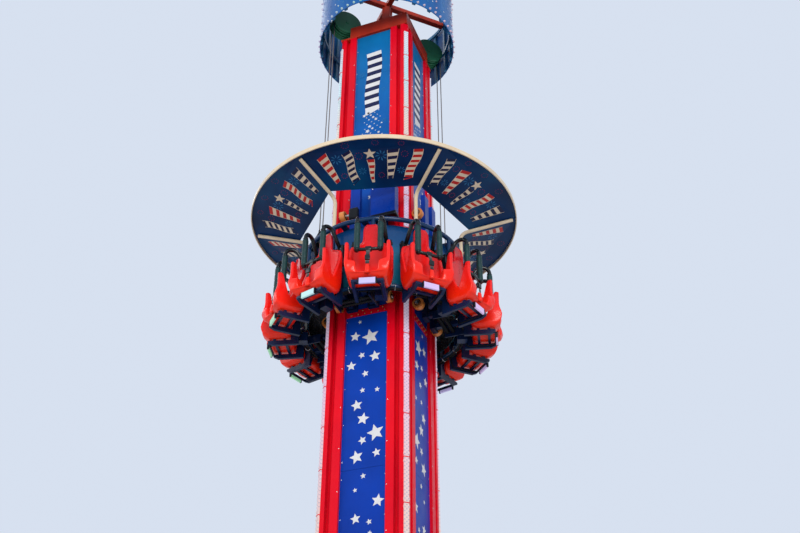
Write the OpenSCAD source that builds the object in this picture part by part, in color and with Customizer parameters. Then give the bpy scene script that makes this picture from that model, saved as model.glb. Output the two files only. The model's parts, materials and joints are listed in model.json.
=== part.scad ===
// Drop tower ride: a square steel column, a ring of twelve seats that two
// pairs of hoist ropes lift along it, a folded canopy and an open crown.
// Millimetres. The origin is the centre of the base plate's underside, +Z up,
// and the front face of the column looks along -Y. An azimuth is counted from
// -Y towards +X.

/* [Column] */
// Width of the square column across its faces
column_w = 1040; // [960:10:1100]
// Height of the column above its base plate
column_h = 12850; // [12600:50:14000]
// Width of a corner post on each face
post_w = 250; // [220:5:280]
// Depth of a corner post behind its faces
post_t = 110; // [95:5:130]
// Chamfer of a corner post that the lights sit on
post_chamfer = 45; // [35:1:55]
// Distance from the corner to the slot in a post
slot_from = 95; // [85:1:110]
// Width of the slot in a post
slot_w = 60; // [40:1:70]
// Depth of the slot in a post
slot_d = 70; // [30:1:80]
// How far the face panels lie behind the posts' faces
panel_recess = 35; // [25:1:50]
// Thickness of a face panel's sheet
panel_t = 4; // [2:0.5:8]
// Depth of a face panel's folded edges
panel_fold = 40; // [20:1:60]
// Height of one row of face panels
section_h = 2000; // [1800:50:2400]
// Gap between two rows of face panels
panel_gap = 3; // [1:0.5:8]
// Height of the red cover band where the column is spliced
band_h = 90; // [60:5:140]
// Thickness of a cover band
band_t = 8; // [4:1:20]

/* [Base] */
// Width of the square base plate
base_w = 1600; // [1500:10:1900]
// Thickness of the base plate
base_t = 40; // [25:5:60]
// Distance between the outer anchor holes
anchor_pitch = 1400; // [1340:10:1440]
// Diameter of an anchor hole
anchor_d = 45; // [24:1:60]
// Height of a base gusset
gusset_h = 380; // [200:10:600]
// Reach of a base gusset over the base plate
gusset_l = 190; // [120:5:200]
// Thickness of a base gusset
gusset_t = 20; // [10:1:30]

/* [Corner lights] */
// Distance from one light module to the next
light_pitch = 512; // [400:4:640]
// Length of a light module without its end clips
light_l = 452; // [300:4:560]
// Width of a light module
light_w = 58; // [40:1:60]
// Thickness of a light module
light_t = 18; // [10:1:22]
// Length of an end clip
clip_l = 26; // [14:1:40]
// How far an end clip stands out past the module
clip_out = 3; // [1:0.5:5]
// Height of the lowest light module above the base plate
light_from = 440; // [400:10:800]

/* [Head] */
// Thickness of the deck plate on the column
deck_t = 30; // [15:1:50]
// Height of the beams on the deck
head_beam_h = 200; // [140:5:220]
// Width of the beams on the deck
head_beam_w = 120; // [80:5:160]
// Distance from the column's axis to a rope
rope_r = 870; // [850:1:890]
// Distance between the two ropes of a pair
rope_gap = 120; // [100:2:150]
// Diameter of a hoist rope
rope_d = 14; // [10:1:20]
// Radius of the rope's centre line on a sheave
sheave_r = 190; // [170:1:200]
// Width of a sheave
sheave_w = 44; // [34:1:56]
// Depth of a sheave's groove measured from the rope's centre
sheave_rim = 14; // [10:1:20]
// Height of the sheaves' axle above the deck
sheave_z = 330; // [300:5:420]
// Diameter of the sheaves' axle
axle_d = 60; // [40:1:80]
// Thickness of a sheave's cheek plate
cheek_t = 12; // [8:1:20]

/* [Crown] */
// Outer radius of the crown
crown_r = 1013; // [1000:1:1060]
// Height of the crown's lower edge above the deck
crown_rise = 90; // [70:5:100]
// Height of the crown
crown_h = 1050; // [900:10:1400]
// Thickness of the crown's skin
crown_t = 8; // [4:1:16]
// Number of battens inside the crown
crown_battens = 24; // [12:4:36]
// Width of a batten
batten_w = 50; // [30:1:70]
// Depth of a batten
batten_d = 30; // [16:1:40]
// Height of the ring bars inside the crown
ring_bar_h = 60; // [30:2:100]
// Depth of the ring bars
ring_bar_d = 20; // [12:1:28]
// Height of the lower ring bar above the crown's lower edge
ring_bar_rise = 360; // [300:5:420]
// Width and height of the beams across the crown's top
spoke_s = 80; // [60:2:90]
// Width of the post under the beams' crossing
crown_post_s = 120; // [90:5:160]

/* [Gondola] */
// Height of the upper ring tube
upper_z = 9016; // [8950:1:9100]
// Height of the lower ring tube
lower_z = 8040; // [8000:1:8060]
// Distance from the rings' centre line out to the seats' backs
ring_behind = 96; // [85:1:100]
// Diameter of a ring tube
ring_d = 60; // [50:1:70]
// Number of seats round the column
seats_n = 12; // [12:1:12]
// Azimuth of the first seat
seat_az = 15; // [15:1:15]
// Diameter of the posts between the ring tubes
ring_post_d = 50; // [36:1:56]
// Width of a guide mast
mast_w = 130; // [100:2:140]
// Depth of a guide mast
mast_d = 60; // [40:2:70]
// Distance from a face's middle to a mast's centre line
mast_x = 135; // [120:1:145]
// Height of the masts' lower end
mast_from = 7990; // [7950:5:8010]
// Height of the masts' upper end
mast_to = 9870; // [9800:5:9950]
// Diameter of a guide wheel
wheel_d = 140; // [110:2:150]
// Width of a guide wheel
wheel_w = 64; // [50:1:70]
// Distance from a face's middle to a guide wheel
wheel_x = 320; // [314:1:322]
// Height of the lower guide wheels
wheel_low_z = 8110; // [8090:5:8200]
// Height of the upper guide wheels
wheel_high_z = 9480; // [9400:5:9560]
// Diameter of a guide wheel's axle
wheel_axle_d = 36; // [24:1:44]
// Distance from the fairing out to the rings' centre line
fairing_in = 89; // [84:1:104]
// Thickness of the fairing
fairing_t = 6; // [3:0.5:10]

/* [Seats] */
// Distance from the column's axis to the rear face of a seat's back
seat_back_r = 1100; // [1095:1:1110]
// Width of a seat
seat_w = 524; // [500:2:530]
// Height of the seat pan's top
pan_z = 7960; // [7940:5:7990]
// Thickness of a seat's back
back_t = 36; // [24:1:44]
// Thickness of a seat's sides
side_t = 46; // [30:1:50]
// Length of the seat in front of its back
pan_l = 330; // [310:5:350]
// Drop of the seat's two lobes below the pan
lobe_drop = 56; // [50:1:64]
// Width between the bolsters beside the thighs
thigh_w = 264; // [250:2:290]
// Height of the bolsters and of the sides' lowest point above the pan
arm_h = 150; // [130:5:170]
// Height of the horns above the pan
horn_h = 412; // [370:2:430]
// Height of a seat's shoulders above the pan
shoulder_h = 545; // [520:5:555]
// Height of the headrest's top above the pan
headrest_h = 870; // [820:5:900]
// Width of the headrest
headrest_w = 190; // [170:5:196]

/* [Restraints] */
// Distance from the restraints' hinge line out to the seats' backs
hinge_behind = 30; // [29:1:32]
// Height of the restraints' hinge line
hinge_z = 8580; // [8575:1:8590]
// Diameter of a restraint's tube
bar_d = 50; // [40:1:52]
// Diameter of the pads on a restraint
pad_d = 72; // [60:1:74]
// Distance from a seat's middle to a front bar's centre line
bar_x = 136; // [134:1:140]
// Height of the hoop's top
hoop_z = 8800; // [8790:5:8810]
// Distance from the hinge line to the front bars
hoop_reach = 280; // [275:5:290]
// Distance from the hinge line to where the hoop's rear arm ends
hoop_rear = 150; // [140:2:155]
// Height of the front bars' lower end
front_z = 8290; // [8270:5:8320]

/* [Canopy] */
// Radius of the canopy's rim
canopy_r = 1748; // [1720:1:1780]
// Height of the canopy's rim
canopy_z = 9680; // [9660:1:9700]
// Distance from the column's axis to the corners of the canopy's inner edge
canopy_in_r = 1117; // [1100:1:1130]
// Drop of the inner edge below the rim
canopy_drop = 160; // [120:1:180]
// Thickness of a canopy panel
canopy_t = 10; // [5:1:16]
// Height of the rim band
rim_h = 56; // [40:1:70]
// Thickness of the rim band
rim_t = 12; // [6:1:18]
// Diameter of a canopy arm
arm_d = 46; // [36:1:52]
// Bend radius of a canopy arm
arm_bend = 120; // [90:5:130]
// Gap between two canopy panels
canopy_gap = 4; // [2:1:10]

/* [Hidden] */
$fn = 48;
// A small overlap that lets cutting tools pass through a face
cut = 1;
// Face clearance between pieces that only rest on each other
seat_gap = 0.3;
half_w = column_w / 2;
column_top = base_t + column_h;
panel_w = column_w - 2 * post_w;
panel_y = half_w - panel_recess;
deck_top = column_top + deck_t;
crown_z = deck_top + crown_rise;
ring_r = seat_back_r - ring_behind;
fairing_r = ring_r - fairing_in;
hinge_r = seat_back_r - hinge_behind;
// The chamfered corner's distance from the axis along the diagonal
corner_r = half_w * sqrt(2) - post_chamfer / sqrt(2);
rope_azimuths = [-45, 135];
face_azimuths = [0, 90, 180, 270];
corner_azimuths = [45, 135, 225, 315];
sheave_axis_r = rope_r - sheave_r;
sheave_axis_z = deck_top + sheave_z;
seat_step = 360 / seats_n;
arms_n = 6;
arm_step = 360 / arms_n;
arm_az = seat_az - seat_step;
mast_in = half_w + 70;
mast_mid = mast_in + mast_d / 2;

// Turns what is drawn towards -Y to an azimuth
module at_az(azimuth) {
    rotate([0, 0, azimuth])
        children();
}

// Places a copy on each of the column's faces, both sides of the middle
module on_faces(x) {
    for (azimuth = face_azimuths)
        at_az(azimuth)
            for (side = [-1, 1])
                translate([side * x, 0, 0])
                    children();
}

// A tube through points in the XY plane, with round bends. The bends are a hair
// thicker and the straight parts reach into them, so that they join as one solid.
module bent_tube(points, bend_r, d) {
    last = len(points) - 1;
    lap = 1;
    swell = 0.6;
    heading = [for (i = [0:last - 1])
        atan2(points[i + 1][1] - points[i][1], points[i + 1][0] - points[i][0])];
    function turn(i) = (i < 1 || i >= last) ? 0
        : ((heading[i] - heading[i - 1] + 540) % 360) - 180;
    function tangent(i) = bend_r * tan(abs(turn(i)) / 2);
    for (i = [0:last - 1]) {
        from = (i == 0) ? 0 : tangent(i) - lap;
        to = norm(points[i + 1] - points[i]) - ((i == last - 1) ? 0 : tangent(i + 1) - lap);
        translate([points[i][0], points[i][1], 0])
            rotate([0, 0, heading[i]])
                translate([from, 0, 0])
                    rotate([0, 90, 0])
                        cylinder(d = d, h = to - from);
    }
    for (i = [1:1:last - 1]) {
        side = sign(turn(i));
        translate([points[i][0], points[i][1], 0])
            rotate([0, 0, heading[i - 1]])
                translate([-tangent(i), side * bend_r, 0])
                    rotate([0, 0, side > 0 ? -90 : 90 - abs(turn(i))])
                        rotate_extrude(angle = abs(turn(i)))
                            translate([bend_r, 0])
                                circle(d = d + swell);
    }
}

// Stands a drawing made in the XY plane up, so that X is the distance from the
// column's axis towards -Y and Y is the height
module upright() {
    rotate([90, 0, 270])
        children();
}

// The arc of a given radius that rounds the corner b between a and c
function fillet(a, b, c, radius) =
    let (u = (a - b) / norm(a - b), v = (c - b) / norm(c - b), half = acos(u * v) / 2,
        middle = b + (u + v) / norm(u + v) * radius / sin(half),
        from = b + u * radius / tan(half) - middle, to = b + v * radius / tan(half) - middle,
        start = atan2(from[1], from[0]),
        sweep = (atan2(to[1], to[0]) - start + 540) % 360 - 180,
        steps = radius < 35 ? 2 : 4)
    [for (k = [0:steps]) middle + radius * [cos(start + sweep * k / steps), sin(start + sweep * k / steps)]];

// An outline with its corners rounded, each by its own radius
function rounded(points, radii) =
    let (n = len(points))
    [for (i = [0:n - 1])
        each radii[i] == 0 ? [points[i]]
            : fillet(points[(i + n - 1) % n], points[i], points[(i + 1) % n], radii[i])];

module base_plate() {
    color("dimgray")
        difference() {
            translate([-base_w / 2, -base_w / 2, 0])
                cube([base_w, base_w, base_t]);
            for (i = [0:3], j = [0:3])
                if (i == 0 || i == 3 || j == 0 || j == 3)
                    translate([anchor_pitch * (i / 3 - 0.5), anchor_pitch * (j / 3 - 0.5), -cut])
                        cylinder(d = anchor_d, h = base_t + 2 * cut);
        }
}

gusset_x = half_w - slot_from - slot_w - gusset_t;
gusset_toe = 30;

// A gusset is a plate on the base plate against a corner post's face
module base_gussets() {
    color("crimson")
        on_faces(gusset_x - gusset_t / 2)
            translate([-gusset_t / 2, -half_w, base_t])
                rotate([90, 0, 90])
                    linear_extrude(gusset_t)
                        polygon([[0, 0], [-gusset_l, 0], [-gusset_l, gusset_toe],
                            [-gusset_toe, gusset_h], [0, gusset_h]]);
}

// Half of a post's section, with the outer corner at the origin
post_half = [[post_chamfer, 0], [slot_from, 0], [slot_from, slot_d],
    [slot_from + slot_w, slot_d], [slot_from + slot_w, 0], [post_w, 0], [post_w, post_t]];

module corner_posts() {
    mirrored = [for (i = [len(post_half) - 1:-1:0]) [post_half[i][1], post_half[i][0]]];
    color("crimson")
        for (azimuth = face_azimuths)
            at_az(azimuth)
                translate([-half_w, -half_w, base_t])
                    linear_extrude(column_h)
                        polygon(concat(post_half, [[post_t, post_t]], mirrored));
}

panel_rows = ceil(column_h / section_h);
// The column is spliced at every fourth joint of its panels
splice_rows = 4;

// One tray of sheet with its edges folded back, outer face at y = 0
module panel_tray(height) {
    difference() {
        translate([-panel_w / 2, 0, 0])
            cube([panel_w, panel_fold, height]);
        translate([panel_t - panel_w / 2, panel_t, panel_t])
            cube([panel_w - 2 * panel_t, panel_fold, height - 2 * panel_t]);
    }
}

module face_panels() {
    color("royalblue")
        for (azimuth = face_azimuths)
            at_az(azimuth)
                for (row = [0:panel_rows - 1])
                    translate([0, -panel_y, base_t + row * section_h])
                        panel_tray(min(section_h, column_h - row * section_h) - panel_gap);
}

module cross_bands() {
    color("crimson")
        for (azimuth = face_azimuths)
            at_az(azimuth)
                for (row = [splice_rows:splice_rows:panel_rows - 1])
                    translate([-panel_w / 2, -panel_y - band_t, base_t + row * section_h - band_h / 2])
                        cube([panel_w, band_t, band_h]);
}

lights_n = floor((column_h - light_from) / light_pitch);

// A light module lies on the chamfer, with a clip over each end
module light_module() {
    translate([-light_w / 2, -light_t, 0])
        cube([light_w, light_t, light_l]);
    for (z = [0, light_l - clip_l])
        translate([-light_w / 2 - clip_out, -light_t - clip_out, z])
            cube([light_w + 2 * clip_out, light_t + clip_out, clip_l]);
}

module corner_lights() {
    color("lavender")
        for (azimuth = corner_azimuths)
            at_az(azimuth)
                for (i = [0:lights_n - 1])
                    translate([0, -corner_r, base_t + light_from + i * light_pitch])
                        light_module();
}

rope_hole_d = rope_d + 40;

// The deck closes the column's top, with a hole for each rope's inner run
module head_deck() {
    color("firebrick")
        difference() {
            translate([-half_w, -half_w, column_top])
                cube([column_w, column_w, deck_t]);
            for (azimuth = rope_azimuths, side = [-1, 1])
                at_az(azimuth)
                    translate([side * rope_gap / 2, sheave_r - sheave_axis_r, column_top - cut])
                        cylinder(d = rope_hole_d, h = deck_t + 2 * cut);
        }
}

// Beams along the deck's four edges, which the spokes stand on
module head_beams() {
    color("firebrick")
        difference() {
            translate([-half_w, -half_w, deck_top])
                cube([column_w, column_w, head_beam_h]);
            translate([head_beam_w - half_w, head_beam_w - half_w, deck_top - cut])
                cube([column_w - 2 * head_beam_w, column_w - 2 * head_beam_w, head_beam_h + 2 * cut]);
            for (azimuth = rope_azimuths)
                at_az(azimuth)
                    translate([-sheave_room / 2, -column_w, deck_top - cut])
                        cube([sheave_room, column_w, head_beam_h + 2 * cut]);
        }
}

sheave_room = rope_gap + sheave_w + 2 * cheek_t + 24;
cheek_x = rope_gap / 2 + sheave_w / 2 + 4;
cheek_foot = 150;
cheek_head_r = sheave_r + sheave_rim + 12;
// A cheek's foot ends before the deck's cut-off corner
cheek_foot_r = half_w * sqrt(2) - cheek_x - cheek_t - 10;

// One cheek plate: a foot on the deck and a round head about the axle
module cheek_plate() {
    upright()
        linear_extrude(cheek_t, center = true)
            difference() {
                union() {
                    translate([sheave_axis_r, sheave_axis_z])
                        circle(r = cheek_head_r);
                    polygon([[cheek_foot_r, sheave_axis_z], [cheek_foot_r, deck_top],
                        [sheave_axis_r - cheek_foot, deck_top],
                        [sheave_axis_r - cheek_foot, sheave_axis_z]]);
                }
                translate([sheave_axis_r, sheave_axis_z])
                    circle(d = axle_d);
            }
}

module sheave_cheeks() {
    color("darkolivegreen")
        for (azimuth = rope_azimuths)
            at_az(azimuth)
                for (x = [-cheek_x - cheek_t / 2, 0, cheek_x + cheek_t / 2])
                    translate([x, 0, 0])
                        cheek_plate();
}

// A grooved wheel on the X axis, centred on the origin
module sheave_wheel(pitch_r, width, rim, groove_d, bore) {
    outer = pitch_r + rim;
    rotate([0, 90, 0])
        difference() {
            cylinder(r = outer, h = width, center = true);
            cylinder(d = bore, h = width + 2 * cut, center = true);
            rotate_extrude()
                translate([pitch_r, 0])
                    union() {
                        circle(d = groove_d);
                        translate([0, -groove_d / 2])
                            square([rim + cut, groove_d]);
                    }
        }
}

// Both sheaves of a pair turn on one axle through the cheek plates
module sheaves() {
    color("seagreen")
        for (azimuth = rope_azimuths)
            at_az(azimuth)
                translate([0, -sheave_axis_r, sheave_axis_z]) {
                    for (side = [-1, 1])
                        translate([side * rope_gap / 2, 0, 0])
                            sheave_wheel(sheave_r, sheave_w, sheave_rim, rope_d, axle_d);
                    rotate([0, 90, 0])
                        cylinder(d = axle_d, h = 2 * (cheek_x + cheek_t) + 16, center = true);
                }
}

// The rope over a sheave and its inner run down to the base plate
module rope_wraps() {
    wrap_slack = 0.4;
    color("dimgray")
        for (azimuth = rope_azimuths, side = [-1, 1])
            at_az(azimuth)
                translate([side * rope_gap / 2, 0, 0])
                    upright() {
                        translate([sheave_axis_r, sheave_axis_z])
                            rotate_extrude(angle = 180)
                                translate([sheave_r, 0])
                                    circle(d = rope_d);
                        translate([sheave_axis_r - sheave_r, sheave_axis_z + cut])
                            rotate([90, 0, 0])
                                cylinder(d = rope_d - wrap_slack, h = sheave_axis_z + cut - base_t);
                    }
}

anchor_z = upper_z + ring_d / 2;
anchor_eye_h = 60;
buckle_h = 260;
rope_end_z = anchor_z + anchor_eye_h + buckle_h;

// The straight runs from the sheaves down to the gondola
module hoist_ropes() {
    color("dimgray")
        for (azimuth = rope_azimuths, side = [-1, 1])
            at_az(azimuth)
                translate([side * rope_gap / 2, -rope_r, rope_end_z])
                    cylinder(d = rope_d, h = sheave_axis_z - rope_end_z);
}

module crown_skin() {
    color("mediumblue")
        translate([0, 0, crown_z])
            difference() {
                cylinder(r = crown_r, h = crown_h, $fn = 96);
                translate([0, 0, -cut])
                    cylinder(r = crown_r - crown_t, h = crown_h + 2 * cut, $fn = 96);
            }
}

crown_in = crown_r - crown_t;
// A flat batten's edges reach the round skin
batten_out = sqrt(pow(crown_in, 2) - pow(batten_w / 2, 2));
ring_bar_r = crown_in - batten_d;
ring_bar_zs = [crown_z + ring_bar_rise, crown_z + crown_h - ring_bar_h];

// Battens on the skin, held together by two ring bars
module crown_frame() {
    color("steelblue") {
        for (i = [0:crown_battens - 1])
            at_az(i * 360 / crown_battens)
                translate([-batten_w / 2, -batten_out, crown_z])
                    cube([batten_w, batten_out - ring_bar_r, crown_h]);
        for (z = ring_bar_zs)
            translate([0, 0, z])
                difference() {
                    cylinder(r = ring_bar_r + cut, h = ring_bar_h, $fn = 96);
                    translate([0, 0, -cut])
                        cylinder(r = ring_bar_r - ring_bar_d, h = ring_bar_h + 2 * cut, $fn = 96);
                }
    }
}

// A post on the deck and two crossed beams that carry the crown by its upper bar
module crown_spokes() {
    beam_r = sqrt(pow(ring_bar_r - ring_bar_d, 2) - pow(spoke_s / 2, 2)) - seat_gap;
    beam_z = crown_z + crown_h - spoke_s;
    color("firebrick") {
        translate([-crown_post_s / 2, -crown_post_s / 2, deck_top])
            cube([crown_post_s, crown_post_s, beam_z + spoke_s - deck_top]);
        for (azimuth = [45, 135])
            at_az(azimuth)
                translate([-spoke_s / 2, -beam_r, beam_z])
                    cube([spoke_s, 2 * beam_r, spoke_s]);
    }
}

module ring_tube(z) {
    translate([0, 0, z])
        rotate_extrude($fn = 96)
            translate([ring_r, 0])
                circle(d = ring_d);
}

// Two ring tubes welded to a post behind each seat
module ring_frame() {
    color("midnightblue") {
        ring_tube(lower_z);
        ring_tube(upper_z);
        for (i = [0:seats_n - 1])
            at_az(seat_az + i * seat_step)
                translate([0, -ring_r, lower_z])
                    cylinder(d = ring_post_d, h = upper_z - lower_z);
    }
}

module guide_masts() {
    color("navy")
        on_faces(mast_x)
            translate([-mast_w / 2, -mast_in - mast_d, mast_from])
                cube([mast_w, mast_d, mast_to - mast_from]);
}

strut_s = 56;
strut_zs = [lower_z, upper_z];

// Short beams from the masts out to the ring tubes
module ring_struts() {
    strut_end = sqrt(pow(ring_r, 2) - pow(mast_x + strut_s / 2, 2));
    color("midnightblue")
        for (z = strut_zs)
            difference() {
                on_faces(mast_x)
                    translate([-strut_s / 2, -strut_end, z - strut_s / 2])
                        cube([strut_s, strut_end - mast_in - mast_d, strut_s]);
                ring_tube(z);
            }
}

wheel_gap = 1;
wheel_y = half_w + wheel_gap + wheel_d / 2;
wheel_zs = [wheel_low_z, wheel_high_z];
hub_d = 80;
hub_out = 6;

// A tyred wheel that runs up a post beside its slot
module guide_wheels() {
    color("darkorange")
        for (z = wheel_zs)
            on_faces(wheel_x)
                translate([0, -wheel_y, z])
                    rotate([0, 90, 0])
                        difference() {
                            union() {
                                cylinder(d = wheel_d, h = wheel_w, center = true);
                                cylinder(d = hub_d, h = wheel_w + 2 * hub_out, center = true);
                            }
                            cylinder(d = wheel_axle_d, h = 2 * wheel_w, center = true);
                        }
}

// An axle from the mast through its wheel, with a nut past the hub
module wheel_axles() {
    axle_in = mast_x + mast_w / 2;
    axle_l = wheel_x + wheel_w / 2 + hub_out - axle_in;
    nut_l = 14;
    color("black")
        for (z = wheel_zs, azimuth = face_azimuths)
            at_az(azimuth)
                for (side = [-1, 1])
                    translate([side * axle_in, -wheel_y, z])
                        rotate([0, side * 90, 0]) {
                            cylinder(d = wheel_axle_d, h = axle_l + nut_l);
                            translate([0, 0, axle_l])
                                cylinder(d = wheel_axle_d * 1.5, h = nut_l, $fn = 6);
                        }
}

cover_w = 320;
cover_d = 120;
cover_h = 470;
cover_x = 295;
cover_t = 5;
cover_z = 9210;

// A folded cover over the right upper wheel of the front face
module mast_cover() {
    cover_y = mast_in + mast_d;
    color("mediumblue")
        translate([cover_x, -cover_y, cover_z])
            difference() {
                translate([-cover_w / 2, -cover_d, 0])
                    cube([cover_w, cover_d, cover_h]);
                translate([cover_t - cover_w / 2, cover_t - cover_d, cover_t])
                    cube([cover_w - 2 * cover_t, 2 * cover_d, cover_h - 2 * cover_t]);
            }
}

// A round wall behind the seats, between the lower and the upper struts
module fairing() {
    from = lower_z + strut_s / 2;
    height = upper_z - strut_s / 2 - from;
    color("royalblue")
        translate([0, 0, from])
            difference() {
                cylinder(r = fairing_r, h = height, $fn = 96);
                translate([0, 0, -cut])
                    cylinder(r = fairing_r - fairing_t, h = height + 2 * cut, $fn = 96);
            }
}

seat_low = pan_z - lobe_drop;
seat_l = back_t + pan_l;
crossbar_h = 24;
crossbar_w = 32;
crossbar_us = [60, 186];
channel_x = 165;
channel_w = 36;
channel_h = 60;
channel_top = seat_low - crossbar_h - seat_gap;
toe_out = 282;
toe_r = seat_back_r + toe_out;
toe_h = 30;
upright_top = 8270;

// A seat's carrier: two channels out from the lower ring, two bars across them
// under the seat, one between their toes and two uprights behind the seat's back
module seat_carrier() {
    back_in = seat_back_r - seat_gap;
    for (side = [-1, 1])
        translate([side * channel_x, 0, 0])
            upright()
                linear_extrude(channel_w, center = true)
                    polygon([[ring_r, channel_top - channel_h], [ring_r, upright_top],
                        [back_in, upright_top], [back_in, channel_top], [toe_r, channel_top],
                        [toe_r, channel_top - toe_h], [toe_r - channel_h, channel_top - channel_h]]);
    translate([-channel_x, -toe_r, channel_top - toe_h])
        cube([2 * channel_x, toe_h / 2, toe_h]);
    for (u = crossbar_us)
        translate([-channel_x - channel_w / 2, -seat_back_r - u - crossbar_w, channel_top - cut])
            cube([2 * channel_x + channel_w, crossbar_w, crossbar_h + cut]);
}

module seat_arms() {
    color("black")
        difference() {
            for (i = [0:seats_n - 1])
                at_az(seat_az + i * seat_step)
                    seat_carrier();
            cylinder(r = ring_r, h = 2 * lower_z);
            ring_tube(lower_z);
        }
}

// The side of a seat with its origin at the foot of the back: bulged below, a
// deep dip for the arm between the shoulder and a pointed horn
seat_side = [[0, -lobe_drop], [seat_l - 100, -lobe_drop], [seat_l, 50], [seat_l - 16, arm_h + 20],
    [seat_l - 38, horn_h], [seat_l - 78, horn_h], [190, arm_h - 60], [back_t + 26, shoulder_h - 115],
    [back_t + 10, shoulder_h], [back_t, shoulder_h], [back_t, headrest_h], [0, headrest_h]];
seat_side_radii = [40, 110, 70, 120, 18, 16, 40, 60, 0, 0, 14, 12];

// The front of a seat: two lobes below, sides that lean out, shoulders, headrest
half_seat = seat_w / 2;
seat_front_half = [[125, -lobe_drop], [half_seat - 34, -lobe_drop], [half_seat, arm_h],
    [half_seat, shoulder_h - 100], [half_seat - 26, shoulder_h], [headrest_w / 2, shoulder_h + 30],
    [headrest_w / 2, headrest_h]];
seat_front_radii = [90, 50, 60, 60, 50, 30, 80];
lobe_rise = 30;

// The space inside: wide at the hips and above the bolsters, narrow at the thighs
hips_in = half_seat - side_t;
hips_l = 240;
hips_half = [[hips_in - 10, 0], [hips_in, arm_h], [hips_in, headrest_h + cut]];
hips_radii = [50, 0, 0];
thighs_half = [[thigh_w / 2, 0], [thigh_w / 2, arm_h], [hips_in, arm_h], [hips_in, headrest_h + cut]];
thighs_radii = [40, 20, 14, 0];

// A half outline and its mirror image as one closed outline
function both_sides(half) = concat(half, [for (i = [len(half) - 1:-1:0]) [-half[i][0], half[i][1]]]);
function both_radii(radii) = concat(radii, [for (i = [len(radii) - 1:-1:0]) radii[i]]);

// Extrudes a front outline from one distance off the axis to another
module facing_out(from, to) {
    translate([0, -from, pan_z])
        rotate([90, 0, 0])
            linear_extrude(to - from)
                children();
}

// A moulded shell: the front and the side outline cut from one block, hollowed
module seat_shell() {
    difference() {
        intersection() {
            translate([0, 0, pan_z])
                upright()
                    linear_extrude(seat_w, center = true)
                        translate([seat_back_r, 0])
                            polygon(rounded(seat_side, seat_side_radii));
            facing_out(seat_back_r, seat_back_r + seat_l)
                polygon(rounded(concat([[0, lobe_rise - lobe_drop]], both_sides(seat_front_half)),
                    concat([40], both_radii(seat_front_radii))));
        }
        facing_out(seat_back_r + back_t, seat_back_r + hips_l)
            polygon(rounded(both_sides(hips_half), both_radii(hips_radii)));
        facing_out(seat_back_r + back_t, seat_back_r + seat_l + cut)
            polygon(rounded(both_sides(thighs_half), both_radii(thighs_radii)));
    }
}

crotch_w = 60;
crotch_side = [[seat_l - 76, -cut], [seat_l - 28, -cut], [seat_l - 24, 100], [seat_l - 64, 112]];
crotch_radii = [0, 0, 18, 18];

// The post between the thighs that the belt buckles to
module crotch_post() {
    translate([0, 0, pan_z])
        upright()
            linear_extrude(crotch_w, center = true)
                translate([seat_back_r, 0])
                    polygon(rounded(crotch_side, crotch_radii));
}

module seats() {
    color("red")
        for (i = [0:seats_n - 1])
            at_az(seat_az + i * seat_step) {
                seat_shell();
                crotch_post();
            }
}

seat_light_w = 200;
seat_light_h = 70;
seat_light_t = 22;

// A light bar on the front of each seat's carrier
module seat_lights() {
    color("lavender")
        for (i = [0:seats_n - 1])
            at_az(seat_az + i * seat_step)
                translate([-seat_light_w / 2, -toe_r - seat_light_t, channel_top + 6 - seat_light_h])
                    cube([seat_light_w, seat_light_t, seat_light_h]);
}

hinge_x = 218;
block_w = 30;
block_from = 8330;
block_over = 34;
block_behind = 28;
pin_d = 26;
hinge_tube_d = 46;
side_gap = 5;

// Bearing plates on the rear of each seat's shoulders hold the restraint's pins
module hinge_blocks() {
    depth = seat_back_r - seat_gap - hinge_r + block_behind;
    color("black")
        for (i = [0:seats_n - 1])
            at_az(seat_az + i * seat_step)
                for (side = [-1, 1])
                    translate([side * hinge_x, 0, 0])
                        difference() {
                            translate([-block_w / 2, -seat_back_r + seat_gap, block_from])
                                cube([block_w, depth, hinge_z + block_over - block_from]);
                            translate([-block_w, -hinge_r, hinge_z])
                                rotate([0, 90, 0])
                                    cylinder(d = pin_d + 1, h = 2 * block_w);
                        }
}

hoop_bend = 78;

// One side of a restraint in its own plane: out and up from the hinge tube,
// over the shoulder and down in front, with a pad round the front bar
module shoulder_hoop() {
    bent_tube([[0, hinge_z], [hoop_rear, hoop_z], [hoop_reach, hoop_z], [hoop_reach, front_z]],
        hoop_bend, bar_d);
    translate([hoop_reach, front_z + bar_d / 2])
        rotate([-90, 0, 0])
            cylinder(d = pad_d, h = hoop_z - front_z - hoop_bend - bar_d);
}

// A hinge tube with a pin at each end, a hoop over each shoulder and a lap bar
module restraint(azimuth) {
    rear_x = hinge_x - block_w / 2 - side_gap;
    hoop_x = rear_x - bar_d / 2;
    toe_in = asin((hoop_x - bar_x) / hoop_reach);
    lap_r = hinge_r + hoop_reach * cos(toe_in);
    color("darkslategray")
        at_az(azimuth) {
            translate([-rear_x, -hinge_r, hinge_z])
                rotate([0, 90, 0])
                    cylinder(d = hinge_tube_d, h = 2 * rear_x);
            translate([-hinge_x - block_w / 2, -hinge_r, hinge_z])
                rotate([0, 90, 0])
                    cylinder(d = pin_d, h = 2 * hinge_x + block_w);
            for (side = [-1, 1])
                translate([side * hoop_x, -hinge_r, 0])
                    rotate([0, 0, side * -toe_in])
                        upright()
                            shoulder_hoop();
            translate([-bar_x, -lap_r, front_z + bar_d / 2])
                rotate([0, 90, 0])
                    cylinder(d = bar_d - 8, h = 2 * bar_x);
        }
}

anchor_plate_t = 16;
anchor_arm = 90;
guard_d = 12;
guard_h = 190;
guard_bend = 24;
guard_out = 40;

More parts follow.
